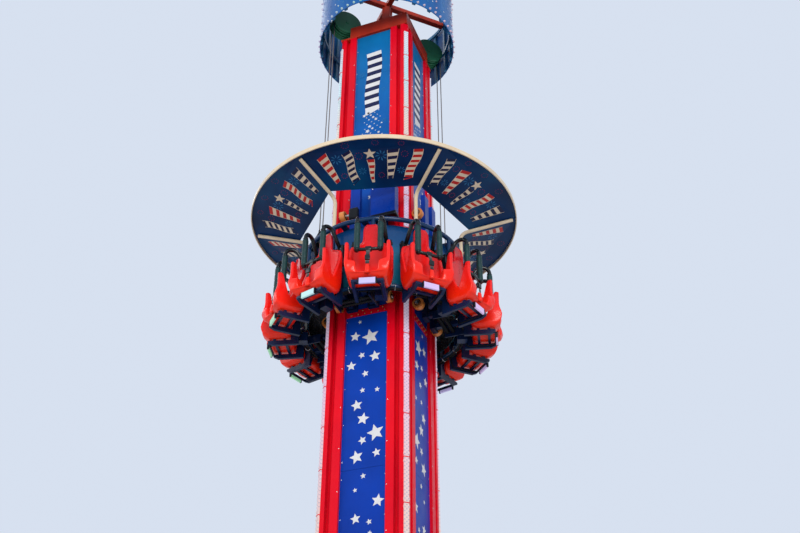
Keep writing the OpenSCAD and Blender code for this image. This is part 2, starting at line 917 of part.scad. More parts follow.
// A bracket from the upper ring in to the ropes, with a screw buckle each and a
// bent rod round them as a guard
module rope_anchors() {
    plate_out = max(ring_r, rope_r + guard_out + guard_d);
    color("black")
        for (azimuth = rope_azimuths)
            at_az(azimuth) {
                guard_x = rope_gap / 2 + anchor_arm / 2 - guard_d;
                guard_y = anchor_z + anchor_plate_t - cut;
                translate([-rope_gap / 2 - anchor_arm / 2, -plate_out, anchor_z])
                    cube([rope_gap + anchor_arm, plate_out - rope_r + anchor_arm / 2, anchor_plate_t]);
                translate([0, -rope_r - guard_out, 0])
                    rotate([90, 0, 0])
                        bent_tube([[-guard_x, guard_y], [-guard_x, guard_y + guard_h],
                            [guard_x, guard_y + guard_h], [guard_x, guard_y]], guard_bend, guard_d);
                for (side = [-1, 1])
                    translate([side * rope_gap / 2, -rope_r, anchor_z + anchor_plate_t]) {
                        cylinder(d = 30, h = anchor_eye_h - anchor_plate_t);
                        translate([0, 0, anchor_eye_h - anchor_plate_t])
                            cylinder(d = 44, h = buckle_h - 60);
                        translate([0, 0, anchor_eye_h - anchor_plate_t + buckle_h - 60])
                            cylinder(d = 26, h = 60);
                    }
            }
}

spring_d = 54;
spring_wire = 11;
spring_turns = 17;
spring_l = 440;
spring_clear = 93;
spring_step = 70;
spring_in = mast_in + mast_d + spring_clear + spring_d / 2;
spring_rs = [spring_in, spring_in + spring_step];
spring_z = lower_z - strut_s / 2 - spring_d / 2 - seat_gap;
spring_plate_t = 12;
spring_plate_h = 110;

// A guide rod between two end discs with the spring's turns round it
module coil_spring() {
    disc_t = 14;
    pitch = (spring_l - 2 * disc_t) / spring_turns;
    rod_r = spring_d / 2 - spring_wire;
    rotate_extrude() {
        square([rod_r + 2, spring_l]);
        for (z = [0, spring_l - disc_t])
            translate([0, z])
                square([spring_d / 2, disc_t]);
        for (i = [0:spring_turns - 1])
            translate([spring_d / 2 - spring_wire / 2, disc_t + (i + 0.5) * pitch])
                circle(d = spring_wire, $fn = 16);
    }
}

// Two guide springs side by side on each face, under the lower struts
module buffer_springs() {
    color("black")
        for (azimuth = face_azimuths, r = spring_rs)
            at_az(azimuth)
                translate([-spring_l / 2, -r, spring_z])
                    rotate([0, 90, 0])
                        coil_spring();
}

// Plates in from the lower ring tube that the springs' ends bear on
module spring_plates() {
    plate_r = spring_rs[0] - spring_d / 2 - 12;
    plate_out = sqrt(pow(ring_r, 2) - pow(spring_l / 2, 2));
    color("midnightblue")
        difference() {
            for (azimuth = face_azimuths)
                at_az(azimuth)
                    for (side = [-1, 1])
                        translate([side * (spring_l + spring_plate_t) / 2, -plate_out, spring_z])
                            translate([-spring_plate_t / 2, 0, spring_d / 2 + 20 - spring_plate_h])
                                cube([spring_plate_t, plate_out - plate_r, spring_plate_h]);
            ring_tube(lower_z);
        }
}

flood_az = 20;
flood_w = 100;
flood_d = 120;
flood_h = 120;

// Light boxes under the lower ring tube, two on each face
module floodlights() {
    color("navy")
        for (azimuth = face_azimuths, side = [-1, 1])
            at_az(azimuth + side * flood_az)
                translate([-flood_w / 2, -ring_r - ring_d / 2, lower_z - ring_d / 2 - flood_h])
                    cube([flood_w, flood_d, flood_h]);
}

// A sector's section in radius and height: the sloping part, then a flat one
function canopy_outline() =
    let (fold_r = canopy_r * cos(arm_step / 2), in_r = canopy_in_r * cos(arm_step / 2),
        in_z = canopy_z - canopy_drop)
    [[in_r, in_z], [fold_r, canopy_z], [canopy_r, canopy_z], [canopy_r, canopy_z + canopy_t],
        [fold_r, canopy_z + canopy_t], [in_r, in_z + canopy_t]];

// The section drawn out sideways and trimmed to a sixth of the round
module canopy_panel() {
    intersection() {
        upright()
            linear_extrude(2 * canopy_r, center = true)
                polygon(canopy_outline());
        translate([0, 0, canopy_z - 2 * canopy_drop])
            linear_extrude(4 * canopy_drop)
                intersection() {
                    circle(r = canopy_r - rim_t, $fn = 96);
                    translate([0, -canopy_gap])
                        polygon([[0, 0], [-2 * canopy_r * tan(arm_step / 2), -2 * canopy_r],
                            [2 * canopy_r * tan(arm_step / 2), -2 * canopy_r]]);
                }
    }
}

module canopy_panels() {
    color("darkblue")
        for (i = [0:arms_n - 1])
            at_az(arm_az + (i + 0.5) * arm_step)
                canopy_panel();
}

module canopy_rim() {
    color("wheat")
        translate([0, 0, canopy_z + canopy_t - rim_h + 10])
            difference() {
                cylinder(r = canopy_r, h = rim_h, $fn = 128);
                translate([0, 0, -cut])
                    cylinder(r = canopy_r - rim_t, h = rim_h + 2 * cut, $fn = 128);
            }
}

// A bent tube from the upper ring, out under the joint of two panels
module canopy_arm() {
    slope = atan(canopy_drop / (canopy_r - canopy_in_r));
    // A panel's edge lies a little higher than the line where two panels would meet
    fall = canopy_drop / ((canopy_r - canopy_in_r) * cos(arm_step / 2));
    edge_rise = canopy_gap / 2 * fall * sin(arm_step / 2);
    drop = arm_d / 2 / cos(slope) + seat_gap - edge_rise;
    line_z = canopy_z - canopy_drop - drop;
    corner_z = line_z - (canopy_in_r - ring_r) * tan(slope);
    rim_in = canopy_r - rim_t - arm_d;
    upright()
        bent_tube([[ring_r, upper_z], [ring_r, corner_z],
            [rim_in, corner_z + (rim_in - ring_r) * tan(slope)]], arm_bend, arm_d);
}

module canopy_arms() {
    color("wheat")
        difference() {
            for (i = [0:arms_n - 1])
                at_az(arm_az + i * arm_step)
                    canopy_arm();
            ring_tube(upper_z);
        }
}

base_plate();
base_gussets();
corner_posts();
face_panels();
cross_bands();
corner_lights();
head_deck();
head_beams();
sheave_cheeks();
sheaves();
rope_wraps();
hoist_ropes();
crown_skin();
crown_frame();
crown_spokes();
ring_frame();
guide_masts();
ring_struts();
guide_wheels();
wheel_axles();
mast_cover();
fairing();
seat_arms();
seats();
seat_lights();
hinge_blocks();
rope_anchors();
buffer_springs();
spring_plates();
floodlights();
canopy_panels();
canopy_rim();
canopy_arms();
restraint(seat_az);  // restraint_01
restraint(seat_az + seat_step);  // restraint_02
restraint(seat_az + 2 * seat_step);  // restraint_03
restraint(seat_az + 3 * seat_step);  // restraint_04
restraint(seat_az + 4 * seat_step);  // restraint_05
restraint(seat_az + 5 * seat_step);  // restraint_06
restraint(seat_az + 6 * seat_step);  // restraint_07
restraint(seat_az + 7 * seat_step);  // restraint_08
restraint(seat_az + 8 * seat_step);  // restraint_09
restraint(seat_az + 9 * seat_step);  // restraint_10
restraint(seat_az + 10 * seat_step);  // restraint_11
restraint(seat_az + 11 * seat_step);  // restraint_12
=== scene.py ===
import json
import math
import bpy
import numpy as np
from numpy import arange, array, concatenate, cos, exp, linspace, pi, radians, sin
from mathutils import Matrix, Vector

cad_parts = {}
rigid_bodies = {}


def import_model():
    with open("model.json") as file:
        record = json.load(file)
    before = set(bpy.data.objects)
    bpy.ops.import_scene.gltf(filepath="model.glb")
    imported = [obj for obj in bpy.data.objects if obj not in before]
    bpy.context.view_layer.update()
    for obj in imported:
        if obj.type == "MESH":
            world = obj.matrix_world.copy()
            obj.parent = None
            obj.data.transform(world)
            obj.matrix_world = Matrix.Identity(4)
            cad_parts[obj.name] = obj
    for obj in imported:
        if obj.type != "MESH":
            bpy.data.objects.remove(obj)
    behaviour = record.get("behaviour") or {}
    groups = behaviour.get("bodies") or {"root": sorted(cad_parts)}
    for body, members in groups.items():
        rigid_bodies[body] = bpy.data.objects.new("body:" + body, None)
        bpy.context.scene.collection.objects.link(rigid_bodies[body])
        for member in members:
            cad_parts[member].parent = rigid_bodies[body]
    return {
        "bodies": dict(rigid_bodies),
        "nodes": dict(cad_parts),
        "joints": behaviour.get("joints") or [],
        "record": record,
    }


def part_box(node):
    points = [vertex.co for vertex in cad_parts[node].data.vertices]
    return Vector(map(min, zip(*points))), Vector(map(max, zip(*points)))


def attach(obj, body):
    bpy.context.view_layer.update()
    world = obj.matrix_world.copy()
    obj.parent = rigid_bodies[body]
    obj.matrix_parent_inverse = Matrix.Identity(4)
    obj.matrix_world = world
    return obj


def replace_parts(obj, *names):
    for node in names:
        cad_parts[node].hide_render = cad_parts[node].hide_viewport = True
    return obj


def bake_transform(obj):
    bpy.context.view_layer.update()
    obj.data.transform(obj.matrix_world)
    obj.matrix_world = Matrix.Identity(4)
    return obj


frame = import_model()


class Settings(dict):
    # a settings dictionary whose values are also read as attributes
    __getattr__ = dict.__getitem__


nodes = frame["nodes"]
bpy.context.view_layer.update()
rng = np.random.default_rng(11)
print("frame loaded:", len(nodes), "nodes")

# Places and sizes that many pieces share, the boxes read from the frame
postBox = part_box("corner_posts")
columnHalf = float(postBox[1][0])
columnTop = float(postBox[1][2])
panelY = float(-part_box("face_panels")[0][1])
spliceZ = 8.04
faceAzimuths = array([0.0, 90.0, 180.0, 270.0])
seatAzimuths = 15.0 + 30.0 * arange(12)
sectorAzimuths = 15.0 + 60.0 * arange(6)
printSettings = Settings(lift=0.0006, thick=0.0008)
noiseLow, noiseHigh = 0.3, 0.7  # nearly all of a noise lies between these
goldenTurn = 0.618034  # steps of this share of a width never line up


# Surfaces and meshes worked out as whole arrays

def zipped(*parts):
    # coordinates of matching shapes as points
    return np.stack(np.broadcast_arrays(*parts), axis=-1)


def turned(points, azimuth):
    # turns points drawn towards -Y about the column's axis to an azimuth in degrees
    a = radians(azimuth)
    x, y, z = points[..., 0], points[..., 1], points[..., 2]
    across, along = x * cos(a) - y * sin(a), x * sin(a) + y * cos(a)
    return zipped(across, along, z)


def gridFaces(rows, columns, wrapRows=False):
    # quads between neighbouring points of a grid whose rows are closed loops
    i = arange(rows if wrapRows else rows - 1)[:, None]
    j = arange(columns)[None, :]
    here, there = i * columns, ((i + 1) % rows) * columns
    following = (j + 1) % columns
    quads = [here + j, here + following, there + following, there + j]
    return np.stack(quads, axis=-1).reshape(-1, 4).tolist()


def cappedFaces(rows, columns):
    # the same quads with one flat face at each end
    last = (rows - 1) * columns
    ends = [list(range(columns))[::-1], list(range(last, last + columns))]
    return gridFaces(rows, columns) + ends


def linked(name, data):
    thing = bpy.data.objects.new(name, data)
    bpy.context.scene.collection.objects.link(thing)
    return thing


def makePiece(name, shape, material, body, slotName, smooth=True):
    # a mesh from points and faces, with its material and body; the colour slot's name is not used
    mesh = bpy.data.meshes.new(name)
    points, faces = shape
    mesh.from_pydata(np.asarray(points, dtype=float).reshape(-1, 3).tolist(), [], faces)
    mesh.update()
    if smooth:
        mesh.polygons.foreach_set("use_smooth", [True] * len(mesh.polygons))
    mesh.materials.append(material)
    piece = linked(name, mesh)
    if body:
        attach(piece, body)
    return piece


def stamped(basePoints, baseFaces, frames, origins):
    # copies a small shape to many places: point = origin + frame * base point
    points = np.einsum("mij,nj->mni", frames, basePoints) + origins[:, None, :]
    shifts = (arange(len(origins)) * len(basePoints))[:, None, None]
    faces = []
    for size in sorted({len(f) for f in baseFaces}):
        same = array([f for f in baseFaces if len(f) == size])
        faces += (same[None, :, :] + shifts).reshape(-1, size).tolist()
    return points.reshape(-1, 3), faces


def faceFrames(azimuths, turns=None, sizes=None):
    # frames whose columns point right along a face, up the face and out of it
    a = radians(azimuths)
    right, out, up = zipped(cos(a), sin(a), 0), zipped(sin(a), -cos(a), 0), zipped(0 * a, 0, 1)
    if turns is not None:
        t = radians(turns)[:, None]
        right, up = right * cos(t) + up * sin(t), up * cos(t) - right * sin(t)
    frames = zipped(right, up, out)
    if sizes is not None:
        frames = frames * zipped(sizes, sizes, 1)[:, None, :]
    return frames


def tube(path, radius, sides=16, lead=(0.0, 0.0, 1.0), loop=False, squash=1.0):
    # a circle of points carried along a path: centre + radius * (cos * side + sin * normal)
    path = np.asarray(path, dtype=float)
    radius = np.broadcast_to(np.asarray(radius, dtype=float), (len(path),))
    if loop:
        tangent = np.roll(path, -1, axis=0) - np.roll(path, 1, axis=0)
    else:
        tangent = np.gradient(path, axis=0)
    tangent /= np.linalg.norm(tangent, axis=1, keepdims=True)
    side = np.cross(tangent, np.asarray(lead, dtype=float))
    side /= np.linalg.norm(side, axis=1, keepdims=True)
    normal = np.cross(side, tangent)
    a = linspace(0, 2 * pi, sides, endpoint=False)
    ring = (cos(a)[None, :, None] * side[:, None, :]
            + squash * sin(a)[None, :, None] * normal[:, None, :])
    points = path[:, None, :] + radius[:, None, None] * ring
    faces = gridFaces(len(path), sides, True) if loop else cappedFaces(len(path), sides)
    return closed(points, faces)


def joined(parts):
    # several (points, faces) pairs as one
    points, faces, first = [], [], 0
    for p, f in parts:
        p = np.asarray(p, dtype=float).reshape(-1, 3)
        points.append(p)
        faces += [[k + first for k in face] for face in f]
        first += len(p)
    return concatenate(points), faces


# Materials, all from nodes on Object coordinates

shaderInputs = {
    "color": "Base Color", "roughness": "Roughness", "coat": "Coat Weight",
    "coatRough": "Coat Roughness", "specular": "Specular IOR Level", "metallic": "Metallic",
    "sheen": "Sheen Weight", "glow": "Emission Color", "glowStrength": "Emission Strength",
    "worldColor": "Color", "worldStrength": "Strength",
}


class Mix:
    # a short way to write the nodes and links of a material or a world
    def __init__(self, owner, shader="Principled BSDF"):
        owner.use_nodes = True
        self.owner, self.tree = owner, owner.node_tree
        self.shader = self.tree.nodes[shader]

    def coords(self):
        return self.add("ShaderNodeTexCoord").outputs["Object"]

    def feed(self, socket, value):
        # a link from another node or a plain value, colours of three parts being opaque
        if isinstance(value, bpy.types.NodeSocket):
            self.tree.links.new(value, socket)
        elif socket.type == "RGBA":
            socket.default_value = (*value, 1.0)[:4]
        else:
            socket.default_value = value

    def add(self, kind, inputs=None, **settings):
        node = self.tree.nodes.new(kind)
        for key, value in settings.items():
            setattr(node, key, value)
        for key, value in (inputs or {}).items():
            self.feed(node.inputs[key], value)
        return node

    def axis(self, name):
        return self.add("ShaderNodeSeparateXYZ", {"Vector": self.coords()}).outputs[name]

    def noise(self, scale, detail=4.0, stretch=(1, 1, 1)):
        placed = self.add("ShaderNodeMapping", {"Vector": self.coords(), "Scale": stretch})
        return self.add("ShaderNodeTexNoise", {"Vector": placed.outputs[0], "Scale": scale,
                        "Detail": detail, "Roughness": 0.55}).outputs["Fac"]

    def span(self, fac, low, high, toLow=0.0, toHigh=1.0):
        return self.add("ShaderNodeMapRange", {"Value": fac, "From Min": low, "From Max": high,
                        "To Min": toLow, "To Max": toHigh}).outputs["Result"]

    def mottle(self, scale, low=0.0, high=1.0, detail=4.0, stretch=(1, 1, 1)):
        # noise spread over a range of values
        return self.span(self.noise(scale, detail, stretch), noiseLow, noiseHigh, low, high)

    def ramp(self, fac, stops):
        node = self.add("ShaderNodeValToRGB", {"Fac": fac})
        while len(node.color_ramp.elements) < len(stops):
            node.color_ramp.elements.new(0.5)
        for element, (place, color) in zip(node.color_ramp.elements, stops):
            element.position = place
            element.color = (*color, 1.0)
        return node.outputs["Color"]

    def fade(self, axis, low, high, stops, scale=0.0, sway=0.0):
        # a ramp along one axis, its places swaying with slow noise where asked
        place = self.axis(axis)
        if sway:
            place = self.math("ADD", place, self.mottle(scale, -sway, sway, 3.0))
        return self.ramp(self.span(place, low, high), stops)

    def math(self, operation, a, b=0.0):
        return self.add("ShaderNodeMath", {0: a, 1: b}, operation=operation).outputs[0]

    def blend(self, fac, a, b, kind="MIX"):
        node = self.add("ShaderNodeMix", {0: fac, 6: a, 7: b}, data_type="RGBA", blend_type=kind)
        return node.outputs[2]

    def finish(self, bump=None, **values):
        # gives the shader its values, and a bump of height, strength and distance
        for key, value in values.items():
            self.feed(self.shader.inputs[shaderInputs[key]], value)
        if bump:
            node = self.add("ShaderNodeBump", dict(zip(("Height", "Strength", "Distance"), bump)))
            self.feed(self.shader.inputs["Normal"], node.outputs["Normal"])
        return self.owner


def newMix(name):
    return Mix(bpy.data.materials.new(name))


def surface(name, tone, roughness, bump, **levels):
    # a material: its tone's nodes, then the noises of its roughness and of its bump
    m = newMix(name)
    scale, detail, strength, distance = bump
    return m.finish(color=tone(m), roughness=m.mottle(*roughness),
                    bump=(m.noise(scale, detail), strength, distance), **levels)


def paint(name, color, deep=None, roughness=0.34, coat=0.03, grime=0.2):
    # sprayed paint: slow tone changes, faint grime and orange peel
    deep = deep or tuple(c * 0.62 for c in color)

    def tone(m):
        fresh = m.blend(m.mottle(3.0, detail=5.0, stretch=(1, 1, 0.35)), deep, color)
        dirt = m.span(m.noise(9.0, 6.0, (1.0, 1.0, 0.06)), 0.58, 0.8, 0.0, grime)
        return m.blend(dirt, fresh, tuple(c * 0.5 + 0.02 for c in deep))

    return surface(name, tone, (14.0, roughness * 0.8, roughness * 1.25, 3.0),
                   (26.0, 1.0, 0.02, 0.001), coat=coat, coatRough=0.12, specular=0.14)


redPaint = paint("redPaint", (0.7, 0.002, 0.012), (0.54, 0.0, 0.012))
deckPaint = paint("deckPaint", (0.48, 0.035, 0.015), roughness=0.4)
bluePaint = paint("bluePaint", (0.001, 0.034, 0.3), (0.001, 0.022, 0.2), roughness=0.3)
navyPaint = paint("navyPaint", (0.004, 0.016, 0.065), (0.003, 0.009, 0.035), coat=0.15)
blackPaint = paint("blackPaint", (0.006, 0.007, 0.011), (0.003, 0.004, 0.006), coat=0.15)
greyPaint = paint("greyPaint", (0.2, 0.21, 0.23), roughness=0.5, coat=0.1)
greenPaint = paint("greenPaint", (0.03, 0.17, 0.09), roughness=0.35)
creamPaint = paint("creamPaint", (0.7, 0.58, 0.42), (0.58, 0.46, 0.32), 0.35, 0.3, 0.15)
hoopPaint = paint("hoopPaint", (0.006, 0.01, 0.012), (0.003, 0.006, 0.008), 0.25, 0.5, 0.1)
rubberBlack = paint("rubberBlack", (0.012, 0.012, 0.013), (0.006, 0.006, 0.007), 0.55, 0.0, 0.15)
azurePaint = paint("azurePaint", (0.03, 0.18, 0.34), (0.02, 0.11, 0.24), roughness=0.3, coat=0.1)
crownPaint = paint("crownPaint", (0.006, 0.11, 0.34), (0.004, 0.07, 0.26), roughness=0.32)
ringPaint = paint("ringPaint", (0.006, 0.04, 0.12), (0.003, 0.018, 0.06), 0.25, 0.3)
print("paints made")


def panelTone(m):
    # printed panels: royal blue low down, azure towards the column's top
    tone = m.fade("Z", 5.0, 13.0, [
        (0.0, (0.001, 0.03, 0.29)), (0.35, (0.001, 0.04, 0.33)), (0.55, (0.002, 0.05, 0.33)),
        (0.75, (0.002, 0.085, 0.33)), (1.0, (0.003, 0.13, 0.33))], 0.8, 0.35)
    level = m.mottle(2.2, 0.86, 1.1)
    grey = m.add("ShaderNodeCombineColor", {0: level, 1: level, 2: level}).outputs[0]
    return m.blend(1.0, tone, grey, "MULTIPLY")


def shellTone(m):
    # moulded shell: a painted orange highlight low down, darker deeper red towards the headrest,
    # faint scuffs
    tone = m.fade("Z", 7.9, 8.8, [(0.0, (0.86, 0.022, 0.004)), (0.25, (0.8, 0.008, 0.004)),
                                  (1.0, (0.58, 0.002, 0.008))], 3.0, 0.06)
    scuff = m.span(m.noise(38.0, 6.0, (1, 1, 0.15)), 0.68, 0.82, 0.0, 0.1)
    return m.blend(scuff, tone, (0.5, 0.02, 0.01))


def fairingTone(m):
    # blue sheet outside with a teal tone low down, black inside
    x, y = m.axis("X"), m.axis("Y")
    radius = m.math("SQRT", m.math("ADD", m.math("MULTIPLY", x, x), m.math("MULTIPLY", y, y)))
    inside = m.math("LESS_THAN", radius, float(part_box("fairing")[1][0]) - 0.003)
    tone = m.fade("Z", 8.1, 9.0, [(0.0, (0.004, 0.1, 0.16)), (0.45, (0.004, 0.12, 0.22)),
                                  (0.62, (0.003, 0.055, 0.18)), (1.0, (0.003, 0.036, 0.13))],
                  2.0, 0.12)
    return m.blend(inside, tone, (0.008, 0.009, 0.012))


def mastTone(m):
    # blue mast with painted shade that darkens it to navy and near black low down under the ring,
    # and greasy streaks
    tone = m.fade("Z", 7.9, 9.9, [(0.0, (0.002, 0.006, 0.022)), (0.12, (0.002, 0.008, 0.04)),
                                  (0.6, (0.002, 0.022, 0.17)), (1.0, (0.003, 0.04, 0.34))])
    streak = m.span(m.noise(11.0, 6.0, (1, 1, 0.08)), 0.55, 0.8, 0.0, 0.6)
    return m.blend(streak, tone, (0.004, 0.006, 0.012))


def canopyTone(m):
    # printed sheet in cloudy dark blues, its lighter teal-blue patches a painted reflection
    return m.ramp(m.noise(1.1, 3.0), [(0.3, (0.001, 0.014, 0.06)), (0.5, (0.001, 0.03, 0.115)),
                                      (0.7, (0.001, 0.062, 0.165))])


def mixed(scale, low, high, detail=4.0):
    # a tone that wanders between two colours
    return lambda m: m.blend(m.mottle(scale, detail=detail), low, high)


def webbingMaterial():
    # black belt: fine ribs across the weave
    m = newMix("webbing")
    rib = m.math("SINE", m.math("MULTIPLY", m.axis("Z"), 2 * math.pi / 0.0025))
    tone = mixed(60.0, (0.006, 0.007, 0.008), (0.022, 0.024, 0.026))(m)
    return m.finish(color=tone, roughness=0.75, sheen=0.3, bump=(rib, 0.3, 0.0006))


def glow(name, stops, axis, low, high, strength, dots=0.0):
    # a frosted cover lit from inside, tinted along one axis, with rows of dots where asked
    m = newMix(name)
    tint = m.fade(axis, low, high, stops)
    if dots:
        wave = 2 * math.pi / dots
        x, y = (m.math("ABSOLUTE", m.axis(k)) for k in "XY")
        row = m.math("SINE", m.math("MULTIPLY", m.axis(axis), wave))
        column = m.math("COSINE", m.math("MULTIPLY", m.math("SUBTRACT", x, y), wave / math.sqrt(2)))
        spots = m.span(m.math("MULTIPLY", row, column), 0.25, 0.8, 0.0, 0.6)
        tint = m.blend(spots, tint, (0.2, 0.3, 0.5))
    return m.finish(color=m.blend(0.5, tint, (0.06, 0.06, 0.09)), glow=tint,
                    glowStrength=strength, roughness=0.35, specular=0.3)


def metal(name, color, roughness):
    # bare metal: its tone and its roughness both wander with noise
    m = newMix(name)
    return m.finish(color=m.blend(m.mottle(8.0), tuple(c * 0.75 for c in color), color),
                    metallic=1.0, roughness=m.mottle(40.0, roughness * 0.7, roughness * 1.4, 3.0))


def ink(name, color, roughness=0.35):
    # printed vinyl: flat ink with a little unevenness
    return surface(name, mixed(5.0, tuple(c * 0.88 for c in color), color, 3.0),
                   (20.0, roughness * 0.85, roughness * 1.15), (90.0, 2.0, 0.03, 0.0005),
                   specular=0.15)


inks = {
    "white": ink("starWhite", (0.62, 0.62, 0.64)), "cream": ink("printCream", (0.72, 0.6, 0.46)),
    "red": ink("printRed", (0.5, 0.02, 0.02)), "sky": ink("printSky", (0.02, 0.14, 0.34)),
    "ink": ink("printNavy", (0.01, 0.014, 0.06)), "rose": ink("printRose", (0.26, 0.015, 0.06)),
}
moduleGlow = glow("moduleGlow", [
    (0.0, (0.55, 0.75, 0.95)), (0.3, (0.62, 0.82, 0.95)), (0.42, (0.95, 0.7, 0.62)),
    (0.55, (0.95, 0.62, 0.8)), (0.62, (0.9, 0.72, 0.92)), (0.66, (0.55, 0.85, 0.98)),
    (0.74, (0.92, 0.62, 0.86)), (0.85, (0.95, 0.75, 0.62)), (0.93, (0.55, 0.85, 0.92)),
    (1.0, (0.9, 0.86, 0.95))], "Z", 0.0, 12.8, 0.24, dots=0.045)
seatGlow = glow("seatGlow", [
    (0.0, (0.45, 0.95, 0.55)), (0.35, (0.55, 0.9, 0.88)), (0.6, (0.62, 0.58, 0.98)),
    (1.0, (0.8, 0.58, 0.95))], "X", -1.3, 1.3, 0.3)
bulbGlow = glow("bulbGlow", [
    (0.0, (0.7, 0.55, 0.8)), (0.5, (0.45, 0.8, 0.72)), (1.0, (0.85, 0.6, 0.7))],
    "X", -1.0, 1.0, 0.18)
boltBrass = metal("boltBrass", (0.78, 0.56, 0.25), 0.3)
boltSteel = metal("boltSteel", (0.6, 0.6, 0.62), 0.25)
ropeSteel = metal("ropeSteel", (0.2, 0.18, 0.17), 0.45)
columnPanel = surface("columnPanel", panelTone, (6.0, 0.3, 0.42), (1.6, 2.0, 0.03, 0.01),
                      specular=0.14)
canopyPrint = surface("canopyPrint", canopyTone, (7.0, 0.32, 0.46), (2.0, 2.0, 0.04, 0.01),
                      specular=0.12)
seatShell = surface("seatShell", shellTone, (5.0, 0.24, 0.32), (70.0, 2.0, 0.02, 0.0005),
                    specular=0.25, coat=0.2, coatRough=0.08)
mastPaint = surface("mastPaint", mastTone, (14.0, 0.28, 0.42), (26.0, 1.0, 0.02, 0.001),
                    specular=0.15)
fairingPaint = surface("fairingPaint", fairingTone, (8.0, 0.2, 0.3), (3.0, 2.0, 0.04, 0.005),
                       specular=0.2, coat=0.15, coatRough=0.1)
restraintPad = surface("restraintPad", mixed(6.0, (0.002, 0.018, 0.02), (0.004, 0.04, 0.04)),
                       (30.0, 0.38, 0.55), (240.0, 3.0, 0.12, 0.0008), specular=0.3)
wheelTyre = surface("wheelTyre", mixed(9.0, (0.5, 0.13, 0.02), (0.72, 0.26, 0.06)),
                    (30.0, 0.35, 0.55), (120.0, 3.0, 0.1, 0.001))
webbing = webbingMaterial()
print("materials made")

finishes = {name: material for material, names in (
    (greyPaint, "base_plate"), (redPaint, "base_gussets corner_posts cross_bands"),
    (columnPanel, "face_panels"), (moduleGlow, "corner_lights"),
    (deckPaint, "head_deck head_beams crown_spokes"), (greenPaint, "sheave_cheeks sheaves"),
    (ropeSteel, "rope_wraps hoist_ropes"), (crownPaint, "crown_skin"),
    (azurePaint, "crown_frame"), (ringPaint, "ring_frame"), (mastPaint, "guide_masts"),
    (navyPaint, "ring_struts seat_arms spring_plates floodlights"), (wheelTyre, "guide_wheels"),
    (boltSteel, "wheel_axles"), (bluePaint, "mast_cover"), (fairingPaint, "fairing"),
    (seatShell, "seats"), (seatGlow, "seat_lights"),
    (blackPaint, "hinge_blocks rope_anchors buffer_springs"), (canopyPrint, "canopy_panels"),
    (creamPaint, "canopy_rim canopy_arms")
) for name in names.split()}
for name, node in nodes.items():
    node.data.materials.clear()
    node.data.materials.append(finishes.get(name, restraintPad))
print("finishes set on", len(nodes), "nodes")


# Stars on the column's panels

starSettings = Settings(
    # across the panel, height, width and turn of each star in one length of the print
    print=[(-0.09, 7.91, 0.055, 10), (-0.145, 7.72, 0.135, -8), (0.05, 7.68, 0.22, 12),
           (-0.055, 7.45, 0.09, 20), (0.11, 7.41, 0.145, 6), (-0.185, 7.33, 0.13, 0),
           (-0.005, 7.2, 0.09, 14), (-0.035, 6.99, 0.072, 8), (0.145, 6.97, 0.07, -4),
           (-0.1, 6.81, 0.145, 10), (-0.02, 6.63, 0.155, -12), (0.135, 6.44, 0.21, 14),
           (-0.02, 6.37, 0.105, 24), (0.15, 6.2, 0.106, 10), (-0.085, 6.18, 0.165, 14),
           (0.0, 5.95, 0.07, 6), (-0.09, 5.8, 0.055, 10), (0.175, 5.65, 0.15, -10),
           (-0.075, 5.48, 0.12, 8), (0.08, 5.43, 0.07, 18)],
    length=2.6, printTop=10.15, inner=0.46,
    # clear of the base plate, the tops and the cover bands, and the least size of a large star
    foot=0.15, margin=0.1, band=0.055, large=0.09,
    # the fountain over the print: stars on a face, half width times top and flare, heights, sizes
    count=72, half=0.22, top=0.55, flare=0.45, gap=0.03, rise=1.15, small=0.02, grow=0.055,
    bias=2.2, turn=30,
)


def starShape(inner, thick, count=10):
    # points round a circle whose radius swings between one half and the inner share of it
    k = arange(count)
    radius = np.where(k % 2 == 0, 0.5, 0.5 * inner)
    a = radians(90 + 36 * k)
    rim = zipped(radius * cos(a), radius * sin(a))
    flat = concatenate([rim, [[0.0, 0.0]]])
    size = len(flat)
    nxt = (k + 1) % count
    faces = zipped(k, nxt, count).tolist() + zipped(nxt + size, k + size, count + size).tolist()
    faces += zipped(k + size, nxt + size, nxt, k).tolist()
    return concatenate([zipped(*flat.T, thick), zipped(*flat.T, 0)]), faces


starPoints, starFaces = starShape(starSettings.inner, printSettings.thick)


def columnStars(s):
    # star = place on the face + frame * star shape, the print repeated every length
    rows = []
    count = s.count
    for face, azimuth in enumerate(faceAzimuths):
        for repeat in range(-2, 2):
            flip = -1 if (face + repeat) % 2 else 1
            stars = array(s.print)
            stars[:, 0] *= flip
            stars[:, 1] += repeat * s.length
            stars[:, 3] *= flip
            rows.append(zipped(*stars.T, azimuth))
        # a fountain of small stars, evenly spread, that narrows upwards
        lift = (arange(count) + 0.5) / count
        spread = s.half * (s.top + s.flare * (1 - lift))
        x = (2 * ((goldenTurn * arange(count) + 0.25 * face) % 1) - 1) * spread
        size = s.small + s.grow * rng.random(count) ** s.bias
        turns = rng.uniform(-s.turn, s.turn, count)
        z = s.printTop + s.gap + s.rise * lift
        rows.append(zipped(x, z, size, turns, azimuth))
    table = concatenate(rows)
    z, size = table[:, 1], table[:, 2]
    clear = np.abs(z - spliceZ) > s.band + size / 2
    lower = (z < s.printTop - s.margin) | (size < s.large)
    table = table[(z > s.foot) & clear & lower & (z < columnTop - s.margin)]
    frames = faceFrames(table[:, 4], table[:, 3], table[:, 2])
    centre = zipped(table[:, 0], -panelY - printSettings.lift, table[:, 1])
    stars = stamped(starPoints, starFaces, frames, turned(centre, table[:, 4]))
    makePiece("column_stars", stars, inks["white"], "tower", "light_tube", smooth=False)


columnStars(starSettings)
print("column stars made")


# Small shapes that many pieces use

